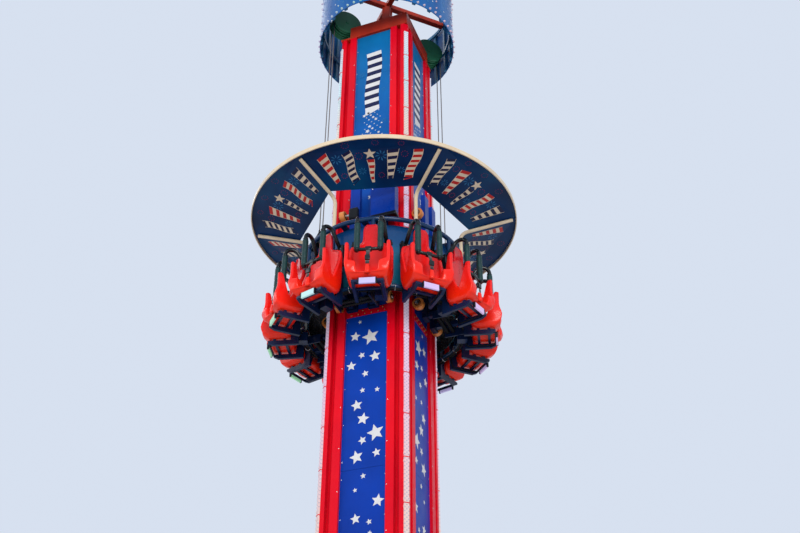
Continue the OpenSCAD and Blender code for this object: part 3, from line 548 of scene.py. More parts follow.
def closed(points, faces):
    # a closed shape whose signed volume is negative is inside out, so its faces are reversed
    points = np.asarray(points, dtype=float).reshape(-1, 3)
    centred = points - points.mean(axis=0)
    volume = 0.0
    for size in sorted({len(f) for f in faces}):
        same = centred[array([f for f in faces if len(f) == size])]
        for k in range(1, size - 1):
            volume += np.einsum("ij,ij->", same[:, 0], np.cross(same[:, k], same[:, k + 1]))
    return points, (faces if volume >= 0 else [f[::-1] for f in faces])


def around(shape, azimuths):
    # one shape drawn towards -Y, repeated at every azimuth
    points, faces = closed(*shape)
    return joined([(turned(points, a), faces) for a in azimuths])


def outward(points):
    # from across, distance out and height to the frame's axes
    points = np.asarray(points, dtype=float)
    return zipped(points[..., 0], -points[..., 1], points[..., 2])


def rod(path, radius, sides=16, **options):
    # a tube along a path of across, distance out and height
    return tube(outward(path), radius, sides, **options)


def bentPath(corners, radius, steps=8):
    # straight runs joined by arcs about the point that lies one radius away from both runs
    corners = np.asarray(corners, dtype=float)
    path = [corners[0]]
    for a, b, c in zip(corners[:-2], corners[1:-1], corners[2:]):
        u, v = (a - b) / np.linalg.norm(a - b), (c - b) / np.linalg.norm(c - b)
        half = np.arccos(np.clip(u @ v, -1, 1)) / 2
        middle = b + (u + v) / np.linalg.norm(u + v) * radius / sin(half)
        start = b + u * radius / np.tan(half) - middle
        end = b + v * radius / np.tan(half) - middle
        k = linspace(0, 1, steps)[:, None]
        sweep = pi - 2 * half
        arc = (start * sin((1 - k) * sweep) + end * sin(k * sweep)) / sin(sweep)
        path.extend(middle + arc)
    path.append(corners[-1])
    return array(path)


def lathed(profile, sides=16):
    # a profile of radius and height turned about the height, closed at both ends
    profile = np.asarray(profile, dtype=float)
    a = linspace(0, 2 * pi, sides, endpoint=False)
    points = zipped(profile[:, :1] * cos(a), profile[:, :1] * sin(a), profile[:, 1:])
    return closed(points, cappedFaces(len(profile), sides))


def softBox(centre, half, power=0.3, rows=10, columns=24):
    # a superellipsoid: each coordinate is half * sign(wave) * |wave| ** power
    lift = radians(linspace(-89, 89, rows))[:, None]
    turn = linspace(0, 2 * pi, columns, endpoint=False)[None, :]
    bend = lambda w: np.sign(w) * np.abs(w) ** power
    x = bend(cos(lift)) * bend(cos(turn))
    y = bend(cos(lift)) * bend(sin(turn))
    points = zipped(x, y, bend(sin(lift))) * np.asarray(half) + np.asarray(centre)
    return closed(points, cappedFaces(rows, columns))


boltHead = lathed([(0.5, 0.0), (0.5, 0.22), (0.42, 0.32), (0.1, 0.34)], 6)
screwHead = lathed([(0.5, 0.0), (0.44, 0.14), (0.26, 0.24), (0.05, 0.27)], 8)
bulbDome = lathed([(0.62, 0.0), (0.62, 0.16), (0.5, 0.2), (0.5, 0.42), (0.4, 0.66), (0.22, 0.82),
                   (0.04, 0.88)], 10)


def fastened(name, shape, table, material, slotName, body):
    # a table of azimuth, across, distance out, height and size, one small part a row
    table = np.asarray(table, dtype=float)
    origins = turned(outward(table[:, 1:4]), table[:, 0])
    frames = faceFrames(table[:, 0]) * table[:, 4][:, None, None]
    shapes = stamped(*shape, frames, origins)
    return makePiece(name, shapes, material, body, slotName, smooth=False)


def crossed(*columns):
    # every combination of the given values, a row each
    return np.stack([g.ravel() for g in np.meshgrid(*columns, indexing="ij")], axis=-1)


# Seats: moulded shells, a post between the thighs

seatSettings = Settings(
    backR=1.1, panZ=7.96, half=0.262, side=0.046, thigh=0.132, armTop=0.15, back=0.036,
    panFront=0.315, corner=0.074, top=0.858, fillet=0.05, foot=0.06,
    # least reach of a side, the shares of it that fillet and edge may take, and the arms' blend
    least=0.014, shares=(0.35, 0.5), armBlend=(-0.02, 0.01),
    # along the middle from the pan's front: distance out and height of the sides' upper edge
    rim=[(0.0, 0.33, 0.404), (0.018, 0.308, 0.412), (0.036, 0.29, 0.4),
         (0.065, 0.262, 0.31), (0.095, 0.233, 0.215), (0.125, 0.205, 0.132),
         (0.15, 0.188, 0.1), (0.18, 0.172, 0.104), (0.205, 0.158, 0.14),
         (0.263, 0.128, 0.225), (0.321, 0.102, 0.3), (0.45, 0.076, 0.38),
         (0.6, 0.061, 0.445), (0.7, 0.052, 0.5), (0.78, 0.048, 0.55),
         (0.84, 0.048, 0.6), (1.11, 0.048, 0.862)],
    # along the middle: thickness of pan and back
    thick=[(0.0, 0.016), (0.02, 0.038), (0.05, 0.056), (0.205, 0.056), (0.263, 0.074),
           (0.321, 0.044), (0.4, 0.036), (1.11, 0.036)],
    # height: share of the full width
    width=[(-0.06, 0.86), (0.0, 0.92), (0.1, 0.985), (0.15, 1.0), (0.44, 1.0), (0.5, 0.965),
           (0.535, 0.91), (0.56, 0.74), (0.58, 0.52), (0.6, 0.41), (0.64, 0.375),
           (0.77, 0.37), (0.8, 0.355), (0.825, 0.325), (0.842, 0.285), (0.853, 0.24),
           (0.862, 0.19)],
    # depth of the groove under the pan, its half width and where it runs out along the middle
    groove=(0.54, 0.13, 0.19, 0.27),
    # along the middle: where the narrow front between the thighs' sides widens
    hollow=(0.06, 0.095),
    # how far the sides' fronts swell, along, height, its spread and the widths it starts between
    flare=(0.044, 0.045, 0.075, 0.085, 0.1, 0.15),
    # most that the ends swell, and the turns of their rows
    swell=0.018, caps=(78, 55, 28), post=(0.06, 0.05, 0.104),
    # the post's rows: height before scaling and share of the half width
    postRows=[(-0.02, 1.0), (0.0, 1.0), (0.03, 0.97), (0.06, 0.93), (0.085, 0.88),
              (0.098, 0.74), (0.106, 0.45), (0.11, 0.12)],
    postOut=0.314, postLean=0.06,
)


def smoothed(x, low, high):
    # 3 t^2 - 2 t^3, t running from 0 at low to 1 at high
    t = np.clip((x - low) / (high - low), 0, 1)
    return t * t * (3 - 2 * t)


def seatMiddle(s):
    # the line along pan and back, and its outward normal
    c, t = s.corner, s.back
    pan = linspace(s.panFront, t + c, 17)[:-1]
    turn = radians(linspace(0, 90, 9))
    back = linspace(c, s.top, 27)[1:]
    middle = concatenate([
        zipped(pan, 0),
        zipped(t + c - c * sin(turn), c - c * cos(turn)),
        zipped(t, back)])
    normal = concatenate([
        np.tile([0.0, -1.0], (len(pan), 1)), zipped(-sin(turn), -cos(turn)),
        np.tile([-1.0, 0.0], (len(back), 1))])
    return middle, normal


def seatShape(s):
    # Rows run along the middle of pan and back. Columns run across inside, up the side, over its
    # edge and back underneath. A point is middle + lift * lead + depth * normal, and its width
    # then follows its height.
    middle, normal = seatMiddle(s)
    steps = np.linalg.norm(np.diff(middle, axis=0), axis=1)
    along = concatenate([[0], np.cumsum(steps)])
    rim, thick, width = array(s.rim), array(s.thick), array(s.width)
    edge = np.stack([np.interp(along, rim[:, 0], rim[:, k]) for k in (1, 2)], -1)
    reach = np.maximum(np.linalg.norm(edge - middle, axis=1), s.least)[:, None]
    lead = (edge - middle) / reach
    depth = np.interp(along, thick[:, 0], thick[:, 1])[:, None]

    inner, outer = s.half - s.side, s.half
    arc = radians([22.5, 45, 67.5, 90])
    over = radians([30, 60, 90, 120, 150])
    f, r, o = s.fillet, s.side / 2, s.foot
    base, wing = linspace(0, 1, 6), linspace(0, 1, 13)[1:]
    out, low = linspace(1, 0, 11), linspace(1, 0, 8)[1:]
    segments = (base, arc, wing, over, out, arc, low)
    row = lambda *values: concatenate([v + 0 * part for v, part in zip(values, segments)])
    across = row(base * (inner - f), inner - f + f * sin(arc), inner,
                 (inner + outer) / 2 - r * cos(over), outer,
                 outer - o * (1 - cos(arc)), low * (outer - o))
    share = row(0, 0, wing, 1, out, 0, 0)
    fill = row(0, 1 - cos(arc), 1, 0, 0, 0, 0)
    taken = row(0, 0, 1, 0, 0, 0, 0)
    crest = row(0, 0, 0, sin(over), 0, 0, 0)
    under = row(0, 0, 0, 0, 0, sin(arc), 1)
    inside = row(1, 1, 1, linspace(1, 0, 5), 0, 0, 0)

    fl, rl = (np.minimum(size, k * reach) for size, k in zip((f, r), s.shares))
    lift = share * (reach - rl - taken * fl) + fill * fl + crest * rl
    cut, wide, start, end = s.groove
    fading = (1 - smoothed(along, start, end))[:, None]
    groove = 1 - cut * (1 - smoothed(np.abs(across), 0.0, wide)) * fading
    place = (middle[:, None] + lead[:, None] * lift[..., None]
             + normal[:, None] * (under * depth * groove)[..., None])
    u, h = place[..., 0], place[..., 1]
    front = (1 - smoothed(along, *s.hollow))[:, None]
    below = 1 - smoothed(h, *np.add(s.armTop, s.armBlend))
    x = across * (1 - (1 - s.thigh / inner) * front * inside * below)
    push, length, height, spread, near, far = s.flare
    u = u + (push * exp(-(along / length) ** 2)[:, None] * exp(-((h - height) / spread) ** 2)
             * smoothed(x, near, far))
    x = x * np.interp(h, width[:, 0], width[:, 1])
    half = zipped(x, u, h)

    count = half.shape[1]
    centre = (half + half[:, ::-1]) / 2
    swell = np.minimum(np.linalg.norm(half - centre, axis=-1, keepdims=True), s.swell)
    caps = radians(s.caps)
    domed = lambda k, a, away: (centre[k] + (half[k] - centre[k]) * cos(a)
                                + swell[k] * sin(a) * array(away))
    first = [domed(0, a, [0, 1, 0]) for a in caps]
    last = [domed(-1, a, [0, 0, 1]) for a in caps[::-1]]
    half = concatenate([first, half, last])
    full = concatenate([half, half[:, -2:0:-1] * [-1, 1, 1]], axis=1)
    rows, columns = full.shape[:2]
    faces = gridFaces(rows, columns)
    j = arange(count // 2)
    end = (rows - 1) * columns
    other = lambda k: (columns - k) % columns
    near = zipped(j + 1, j, count - 1 - j, count - 2 - j)
    for quads, shift in ((near, 0), (other(near[:, ::-1]), 0), (near[:, ::-1], end),
                         (other(near), end)):
        faces += [[k + shift for k in dict.fromkeys(q)] for q in quads.tolist()]
    full[..., 1] += s.backR
    full[..., 2] += s.panZ
    return closed(outward(full), faces)


def seatPost(s):
    # an oval post that narrows upwards and rounds over at its top
    width, depth, height = s.post
    table = array(s.postRows)
    z = table[:, 0] / table[-1, 0] * height
    r = width / 2 * table[:, 1]
    path = zipped(0, s.backR + s.postOut - s.postLean * z, s.panZ + z)
    return rod(path, r, 18, lead=(0, 1, 0), squash=depth / width)


allSeats = around(joined([seatShape(seatSettings), seatPost(seatSettings)]), seatAzimuths)
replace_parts(makePiece("seat_shells", allSeats, seatShell, "gondola", "shell_red"), "seats")
print("seats made")


# Restraints: hinge tube, two hoops, lap bar, foam pads and a belt

restraintSettings = Settings(
    hingeR=1.07, hingeZ=8.58, rearX=0.198, hoopX=0.173, barX=0.136, reach=0.28, rear=0.15,
    topZ=8.8, frontZ=8.29, bend=0.078, tube=0.025,
    # radius of the hinge tube, half length and radius of its pin, radius of the lap bar
    hinge=(0.023, 0.233, 0.013), lap=0.021,
    # collars at the pads' ends: radius and half height; nuts: first and last across, radius
    collar=(0.031, 0.009), nut=(0.231, 0.243, 0.017), clasp=(0.038, 0.027, 0.027),
    pad=(8.318, 8.69, 0.0358), padRows=(48, 26), collarGaps=(-0.004, 0.006),
    # a pad's rings along it, and shares of its radius and widths of swells, rings, ends and seam
    grooves=(0.26, 0.5, 0.74),
    padForm=Settings(base=0.965, swell=0.035, power=0.7, spacing=0.25, ring=0.09, ringWide=0.014,
                     end=0.26, endWide=0.018, seam=0.05, seamWide=0.1),
    # the belt's width and share of thickness, then the bends of belt and strap
    belt=(0.044, 0.075), beltBends=(0.15, 0.1),
    # distance out from the lap bar and height over it, along the belt and the lower strap
    hang=[(0.012, -0.015), (0.035, -0.07), (0.062, -0.14)],
    strap=[(0.069, -0.205), (0.07, -0.25)], buckleAt=(0.066, -0.163),
    buckle=(0.03, 0.012, 0.032),
)


def padShape(s, side, lapR):
    # radius = pad radius, crowned between sewn rings, with a seam down its rear, rounded ends
    low, high, radius = s.pad
    rows, columns = s.padRows
    t = linspace(0, 1, rows)[:, None]
    a = linspace(0, 2 * pi, columns, endpoint=False)[None, :]
    f = s.padForm
    rings = f.ring * sum(exp(-((t - g) / f.ringWide) ** 2) for g in s.grooves)
    crown = f.swell * np.abs(sin(pi * t / f.spacing)) ** f.power
    ends = f.end * (exp(-t / f.endWide) + exp(-(1 - t) / f.endWide))
    seam = f.seam * exp(-((np.angle(exp(1j * (a - pi / 2)))) / f.seamWide) ** 2)
    r = radius * (f.base + crown - rings - ends - seam)
    points = zipped(side * s.barX + r * cos(a), lapR + r * sin(a), low + (high - low) * t)
    return closed(outward(points), cappedFaces(rows, columns))


def restraintShapes(s):
    # hoops, pins and belts are circles carried along bent paths, and clasp and buckle are rounded
    # boxes. A hoop leans in by the angle whose sine is (hoopX - barX) / reach.
    toe = math.asin((s.hoopX - s.barX) / s.reach)
    hingeR, hingeZ, lapR = s.hingeR, s.hingeZ, s.hingeR + s.reach * math.cos(toe)
    lapZ = s.frontZ + s.tube
    flat = bentPath([(0, hingeZ), (s.rear, s.topZ), (s.reach, s.topZ),
                     (s.reach, s.frontZ)], s.bend, 10)
    frameParts, padParts = [], []
    for side in (-1, 1):
        x = side * (s.hoopX - math.sin(toe) * flat[:, 0])
        path = zipped(x, hingeR + math.cos(toe) * flat[:, 0], flat[:, 1])
        frameParts.append(rod(path, s.tube, 16, lead=(1, 0, 0)))
        radius, half = s.collar
        for z in np.add(s.pad[:2], s.collarGaps):
            ring = [(side * s.barX, lapR, z - half), (side * s.barX, lapR, z + half)]
            frameParts.append(rod(ring, radius, 18, lead=(1, 0, 0)))
        near, far, radius = s.nut
        nut = [(side * near, hingeR, hingeZ), (side * far, hingeR, hingeZ)]
        frameParts.append(rod(nut, radius, 6, lead=(0, 0, 1)))
        padParts.append(padShape(s, side, lapR))
    thick, pinHalf, thin = s.hinge
    for half, r, d, z in ((s.rearX, thick, hingeR, hingeZ), (pinHalf, thin, hingeR, hingeZ),
                          (s.barX, s.lap, lapR, lapZ)):
        across = linspace(-half, half, 5)
        frameParts.append(rod(zipped(across, d, z), r, 16))
    frameParts.append(softBox(outward((0, lapR, lapZ)), s.clasp))
    width, squash = s.belt
    hanging = lambda places: [(0, lapR + d, lapZ + z) for d, z in places]
    flatBelt = lambda path: rod(path, width / 2, 14, lead=(0, 1, 0), squash=squash)
    belt = flatBelt(bentPath(hanging(s.hang), s.beltBends[0], 6))
    buckle = softBox(outward(hanging([s.buckleAt])[0]), s.buckle, 0.22)
    strap = flatBelt(bentPath(hanging(s.strap), s.beltBends[1], 4))
    return joined(frameParts), joined(padParts), belt, buckle, strap


hoopShape, padsShape, beltShape, buckleShape, strapShape = restraintShapes(restraintSettings)
for index, azimuth in enumerate(seatAzimuths):
    body = f"restraint_{index + 1:02d}"
    put = lambda part, shape, material, slotName: makePiece(
        f"{body}_{part}", (turned(shape[0], azimuth), shape[1]), material, body, slotName)
    hoops = put("hoops", hoopShape, hoopPaint, "black_paint")
    pads = put("pads", padsShape, restraintPad, "pad_green")
    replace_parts(hoops, body)
    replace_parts(pads, body)
    put("belt", beltShape, webbing, "black_paint")
    put("buckle", buckleShape, hoopPaint, "black_paint")
makePiece("belt_straps", around(strapShape, seatAzimuths), webbing, "gondola", "black_paint")
print("restraints made")


# Ropes: stranded outer runs and coarser inner runs inside the column

ropeSettings = Settings(
    azimuths=(-45.0, 135.0), out=0.87, inner=0.49, gap=0.06, radius=0.007, lay=0.11, strands=6,
    top=13.25, hold=9.6, foot=0.041, tucked=0.25,
    # step along and sides round the outer and the inner runs
    outer=(0.011, 18), plain=(0.06, 10),
)


def strandedRope(s, across, distance, low, high, step, sides):
    # radius = rope radius less a groove between strands that winds up the rope
    z = arange(low, high + step / 2, step)[:, None]
    z = low + (z - low) * (high - low) / (z[-1] - low)
    a = linspace(0, 2 * pi, sides, endpoint=False)[None, :]
    twist = 2 * pi * z / s.lay
    r = s.radius * (0.9 + 0.1 * np.abs(cos(s.strands / 2 * (a - twist))))
    points = zipped(across + r * cos(a), distance + r * sin(a), z)
    return closed(outward(points), cappedFaces(len(z), sides))


def hoistRopes(s):
    # each outer run is a stranded rope laid in place, its transform baked into its points
    low = float(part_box("rope_anchors")[1][2]) - s.tucked
    for azimuth in s.azimuths:
        for side in (-1, 1):
            name = f"rope_{'front' if azimuth < 0 else 'back'}_{'a' if side < 0 else 'b'}"
            x = side * s.gap
            points, faces = strandedRope(s, x, s.out, low, s.top, *s.outer)
            shape = (turned(points, azimuth), faces)
            outer = makePiece(name, shape, ropeSteel, None, "rope_steel")
            top = turned(outward((x, s.out, s.top)), azimuth)
            hold = turned(outward((x, s.out, s.hold)), azimuth)
            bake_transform(outer)
            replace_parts(outer, "hoist_ropes")
    inner = []
    for side in (-1, 1):
        run = strandedRope(s, side * s.gap, s.inner, s.foot, s.top, *s.plain)
        inner.append(around(run, s.azimuths))
    runs = makePiece("rope_inner_runs", joined(inner), ropeSteel, "tower", "rope_steel")
    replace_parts(runs, "hoist_ropes")


hoistRopes(ropeSettings)
print("ropes made")


# Prints: thin flat shapes laid on the canopy, the column and the crown

def streamer(length, width, bands, wave=0.0, slant=0.0, taper=0.0, tail=0.0):
    # cross bands of a ribbon: its middle line is wave * sine, and it narrows towards the foot
    t = linspace(0, 1, bands * 3 + 1)
    line = wave * sin(2 * pi * t) * (1 - 0.3 * t)
    half = width / 2 * (1 - taper * t)
    left = zipped(line - half, -t * length - slant * half)
    right = zipped(line + half, -t * length + slant * half)
    quads = np.stack([left[:-1], right[:-1], right[1:], left[1:]], axis=1)[:, ::-1]
    if tail:
        x, y = quads[-1, :, 0], quads[-1, :, 1]
        tips = (np.abs(x - line[-1]) > half[-1] * 0.5) * (y < -length + 1e-6)
        quads[-1, :, 1] -= tail * tips
    return quads, (arange(bands * 3) // 3) % 2


def pinwheel(blades, radius):
    # curved blades about a centre, each a quad from the hub out and round
    a = 2 * pi * arange(blades) / blades
    polar = lambda r, turn: zipped(r * cos(a + turn), r * sin(a + turn))
    corners = ((0.22, 0), (0.75, -0.1), (1.0, 0.16), (0.62, 0.2))
    return np.stack([polar(share * radius, turn) for share, turn in corners], axis=1)


def ringOfDots(radius, count, size):
    # squares on their corners round a circle: centre = radius * (cos, sin)
    a = 2 * pi * arange(count) / count
    centre = zipped(radius * cos(a), radius * sin(a))
    box = size / 2 * array([[-1, 0], [0, -1], [1, 0], [0, 1]])
    return centre[:, None, :] + box[None]


def placeFlat(quads, frame, origin, sets, key):
    # closed thin slabs from flat quads of n x 4 x 2
    low = zipped(quads[..., 0], quads[..., 1], 0)
    local = concatenate([low, low + [0, 0, printSettings.thick]], axis=1)
    points = np.einsum("ij,mnj->mni", frame, local) + origin
    block = array([[3, 2, 1, 0], [4, 5, 6, 7], [0, 1, 5, 4], [1, 2, 6, 5], [2, 3, 7, 6],
                   [3, 0, 4, 7]])
    faces = (block[None] + 8 * arange(len(local))[:, None, None]).reshape(-1, 4)
    sets.setdefault(key, []).append((points.reshape(-1, 3), faces.tolist()))


def placeBands(ribbon, frame, origin, sets, even, odd):
    # every other band of a ribbon in another ink
    quads, parity = ribbon
    placeFlat(quads[parity == 0], frame, origin, sets, even)
    placeFlat(quads[parity == 1], frame, origin, sets, odd)


def printed(prefix, sets, body, slotName):
    for key, parts in sets.items():
        makePiece(f"{prefix}_{key}", joined(parts), inks[key], body, slotName, smooth=False)


def turnedFrame(frame, degrees):
    # the frame turned about its own outward axis
    c, s = math.cos(math.radians(degrees)), math.sin(math.radians(degrees))
    right, up = frame[:, 0], frame[:, 1]
    return zipped(right * c + up * s, up * c - right * s, frame[:, 2])


canopySettings = Settings(
    rim=1.748, inner=1.117, rimZ=9.68, drop=0.16,
    # azimuth within the sector, distance out of the upper end and kind
    motifs=[(-22, 1.46, "flag"), (-11, 1.49, "wave"), (0, 1.45, "comet"), (11, 1.49, "flag"),
            (22, 1.47, "wave")],
    # length, width, bands, wave, slant, taper and tail of each kind of ribbon
    ribbons={"flag": (0.42, 0.135, 9, 0.0, 0.25, 0.6), "comet": (0.33, 0.085, 8, 0.006, 0.0, 0.7),
             "wave": (0.43, 0.105, 11, 0.016, 0.35, 0.15, 0.03)},
    # the comet's distance from its star, and the star's inner share and width
    comet=(0.08, 0.42, 0.16), edging=0.005, blades=8, dots=(9, 0.013),
    # azimuth within the sector, distance out and radius
    wheels=[(-16.5, 1.4, 0.075), (-5.5, 1.22, 0.055), (5.5, 1.42, 0.08),
            (16.5, 1.2, 0.055)],
    rings=[(-5.5, 1.43, 0.045), (16.5, 1.42, 0.04), (-16.5, 1.17, 0.035),
           (5.5, 1.15, 0.035), (-10, 1.6, 0.045), (3, 1.62, 0.04), (14, 1.58, 0.035)],
)


def canopyPlane(s, azimuth, x, v):
    # a point and frame underneath, which slopes out to the fold and is flat past it
    fold, inner = s.rim * math.cos(math.pi / 6), s.inner * math.cos(math.pi / 6)
    slope = s.drop / (fold - inner)
    sloping = v < fold
    z = s.rimZ - (fold - v) * slope if sloping else s.rimZ
    tilt = math.atan(slope) if sloping else 0.0
    right, up = array([1.0, 0, 0]), array([0, -math.cos(tilt), math.sin(tilt)])
    frame = turned(np.stack([right, up, np.cross(right, up)]), azimuth).T
    return frame, turned(array([x, -v, z]), azimuth) + printSettings.lift * frame[:, 2]


def edging(quads, width):
    # a narrow band down each side of a ribbon
    w = array([width, 0.0])
    left = np.stack([quads[:, 0] - w, quads[:, 0], quads[:, 3], quads[:, 3] - w], axis=1)
    right = np.stack([quads[:, 1], quads[:, 1] + w, quads[:, 2] + w, quads[:, 2]], axis=1)
    return concatenate([left, right])


def canopyPrints(s):
    # one fan of ribbons, pinwheels and rings of dots a sector, every other one mirrored
    sets = {}
    for number, azimuth in enumerate(sectorAzimuths):
        flip = -1 if number % 2 else 1
        plane = lambda turn, v: canopyPlane(s, azimuth, flip * v * math.tan(math.radians(turn)), v)
        for place, (turn, v, kind) in enumerate(s.motifs):
            frame, origin = plane(turn, v)
            frame = turnedFrame(frame, -flip * turn)
            quads, parity = streamer(*s.ribbons[kind])
            if kind == "comet":
                gap, inner, size = s.comet
                quads[..., 1] -= gap
                points, faces = starShape(inner, printSettings.thick)
                sized = frame * array([size, size, 1.0])
                star = (np.einsum("ij,nj->ni", sized, points) + origin, faces)
                sets.setdefault("cream", []).append(star)
            ink = "red" if (place + number) % 2 == 0 else "ink"
            placeBands((quads, parity), frame, origin, sets, ink, "cream")
            placeFlat(edging(quads, s.edging), frame, origin, sets, "cream")
        for turn, v, radius in s.wheels:
            placeFlat(pinwheel(s.blades, radius), *plane(turn, v), sets, "sky")
        for turn, v, radius in s.rings:
            placeFlat(ringOfDots(radius, *s.dots), *plane(turn, v), sets, "rose")
    printed("canopy_print", sets, "gondola", "navy_paint")


canopyPrints(canopySettings)

bannerSettings = Settings(
    top=12.5, blades=8,
    # length, width, bands, wave, slant, taper and tail
    ribbon=(1.16, 0.225, 15, 0.022, 0.06, 0.08, 0.07),
    # across, height and radius
    wheels=[(-0.16, 10.9, 0.05), (0.17, 11.1, 0.045), (-0.17, 12.1, 0.05),
            (0.17, 12.3, 0.045), (0.16, 11.7, 0.035)],
)


def columnBanners(s):
    # one ribbon with pinwheels beside it at the head of each face
    sets = {}
    for azimuth in faceAzimuths:
        frame = faceFrames(array([azimuth]))[0]
        place = lambda x, z: turned(array([x, -panelY - printSettings.lift, z]), azimuth)
        placeBands(streamer(*s.ribbon), frame, place(0, s.top), sets, "white", "ink")
        for x, z, radius in s.wheels:
            placeFlat(pinwheel(s.blades, radius), frame, place(x, z), sets, "sky")
    printed("column_print", sets, "tower", "blue_paint")


columnBanners(bannerSettings)
print("prints made")


# Crown: bulbs along both edges and up every batten, small stars between

crownSettings = Settings(
    radius=1.013, low=13.01, high=14.06, edgeCount=60, columns=12, firstColumn=7.5, bulb=0.03,
    small=0.7, rise=0.04,
    # bulbs up a batten and their distance from the edges, rows of stars and theirs
    upright=(6, 0.16), rows=(4, 0.18),
    # for even and odd rows of stars: shift of the large and the small ones, size of the large
    shifts=[(-2.2, 3.2, 0.055), (3.2, -3.4, 0.075)], smallStar=(0.07, 0.034), large=0.05,
    # stars of a kind in a row, and how their turns vary with their height
    stars=24, turns=(900, 40),
)


def crownBulbs(s):
    # bulbs at even turns on two edges, at even heights up the battens, and rows of stars
    steps = lambda count: arange(count) * 360 / count
    levels = lambda count, margin: linspace(s.low + margin, s.high - margin, count)
    edge = crossed(steps(s.edgeCount), [0.0], [s.radius], levels(2, s.rise), [s.bulb])
    upright = crossed(s.firstColumn + steps(s.columns), [0.0], [s.radius],
                      levels(*s.upright), [s.bulb * s.small])
    bulbs = concatenate([edge, upright])
    fastened("crown_bulbs", bulbDome, bulbs, bulbGlow, "light_tube", "tower")
    a = steps(s.stars)
    out = [s.radius + printSettings.lift]
    above, width = s.smallStar
    rows = []
    for row, z in enumerate(levels(*s.rows)):
        shift, smallShift, size = s.shifts[row % 2]
        rows.append(crossed(a + shift, [0.0], out, [z], [size]))
        rows.append(crossed(a + smallShift, [0.0], out, [z + above], [width]))
    table = concatenate(rows)
    rate, most = s.turns
    frames = faceFrames(table[:, 0], table[:, 3] * rate % most - most / 2, table[:, 4])
    # the large stars are sky blue and the small ones white, whatever the pieces' names say
    large = table[:, 4] > s.large
    for key, part, ink in (("white", large, inks["sky"]), ("sky", ~large, inks["white"])):
        centre = turned(outward(table[part][:, 1:4]), table[part][:, 0])
        stars = stamped(starPoints, starFaces, frames[part], centre)
        makePiece(f"crown_stars_{key}", stars, ink, "tower", "blue_paint", smooth=False)


crownBulbs(crownSettings)
print("crown dressed")


# Light strips: covers that join the modules end to end, each with a thin clip

stripSettings = Settings(
    out=0.70357, first=0.48, pitch=0.512, length=0.452, count=24, half=(0.029, 0.009),
    clip=(0.0305, 0.0105, 0.005),
)


def lightStrips(s):
    # rounded boxes in the gaps: height = first + pitch * k + length + gap / 2
    cover, clip = [], []
    gap = s.pitch - s.length
    for k in range(s.count - 1):
        z = s.first + s.pitch * k + s.length + gap / 2
        half = (*s.half, gap / 2)
        cover.append(softBox(outward((0, s.out + half[1], z)), half, 0.05, 6, 16))
        clip.append(softBox(outward((0, s.out + s.clip[1], z)), s.clip, 0.1, 6, 16))
    for name, parts, material, slotName in (("light_joiners", cover, moduleGlow, "light_tube"),
                                            ("light_clips", clip, redPaint, "red_paint")):
        shape = around(joined(parts), faceAzimuths + 45)
        makePiece(name, shape, material, "tower", slotName, smooth=False)


lightStrips(stripSettings)


# Bolts, screws and small fittings

fixingSettings = Settings(
    bandBolt=0.02,
    # the cover bands' two rows: first and last bolt across, height from the splice
    bandRows=[(-0.225, 0.2, 0.024), (-0.2, 0.225, -0.022)], screw=0.014,
    # foot of the lowest panel, height of a panel, panels in a row, screws up a panel
    panels=(0.04, 2.0, 7, (0.1, 0.55, 1.0, 1.45, 1.9)), panelScrews=(-0.256, 0.256),
    topMargin=0.05, bandMargin=0.06, postScrew=0.013, postScrews=(-0.492, -0.285, 0.285, 0.492),
    # first height, step and number up a post
    postRows=(0.3, 0.5, 25), anchorNut=0.065,
    # half width of the square of anchors, and the base plate's top
    anchors=(0.7, 0.04),
    nut=[(0.72, 0.0), (0.72, 0.1), (0.5, 0.11), (0.5, 0.55), (0.44, 0.62), (0.3, 0.63),
         (0.3, 0.95), (0.26, 1.0)],
)


def fixings(s):
    # rows of one bolt or screw at every azimuth, place across and height, and a square of nuts
    bandOut = float(-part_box("cross_bands")[0][1])
    band = concatenate([
        crossed(faceAzimuths, linspace(first, last, 6), [bandOut], [spliceZ + rise],
                [s.bandBolt]) for first, last, rise in s.bandRows])
    fastened("band_bolts", boltHead, band, boltBrass, "cream_paint", "tower")
    foot, height, count, rises = s.panels
    heights = array([base + k for base in foot + height * arange(count) for k in rises])
    clear = np.abs(heights - spliceZ) > s.bandMargin
    heights = heights[(heights < columnTop - s.topMargin) & clear]
    panel = crossed(faceAzimuths, s.panelScrews, [panelY], heights, [s.screw])
    fastened("panel_screws", screwHead, panel, boltSteel, "rope_steel", "tower")
    first, step, count = s.postRows
    post = crossed(faceAzimuths, s.postScrews, [columnHalf], first + step * arange(count),
                   [s.postScrew])
    fastened("post_screws", screwHead, post, boltSteel, "rope_steel", "tower")
    half, plateTop = s.anchors
    hold = half * array([-1.0, -1 / 3, 1 / 3, 1.0])
    grid = crossed(hold, hold)
    grid = grid[np.max(np.abs(grid), axis=1) > 0.99 * half]
    nut = lathed(s.nut, 12)
    nuts = stamped(*nut, np.eye(3)[None] * s.anchorNut, zipped(*grid.T, plateTop))
    makePiece("anchor_nuts", nuts, boltSteel, "tower", "rope_steel", smooth=False)


fixings(fixingSettings)

wheelSettings = Settings(
    x=0.32, halfWidth=0.032, out=0.59, heights=(8.11, 9.48), hub=0.043,
    # bolts in a hub: number, size, radius of their circle and height on the disc
    bolts=(6, 0.011, 0.03, 0.004),
)


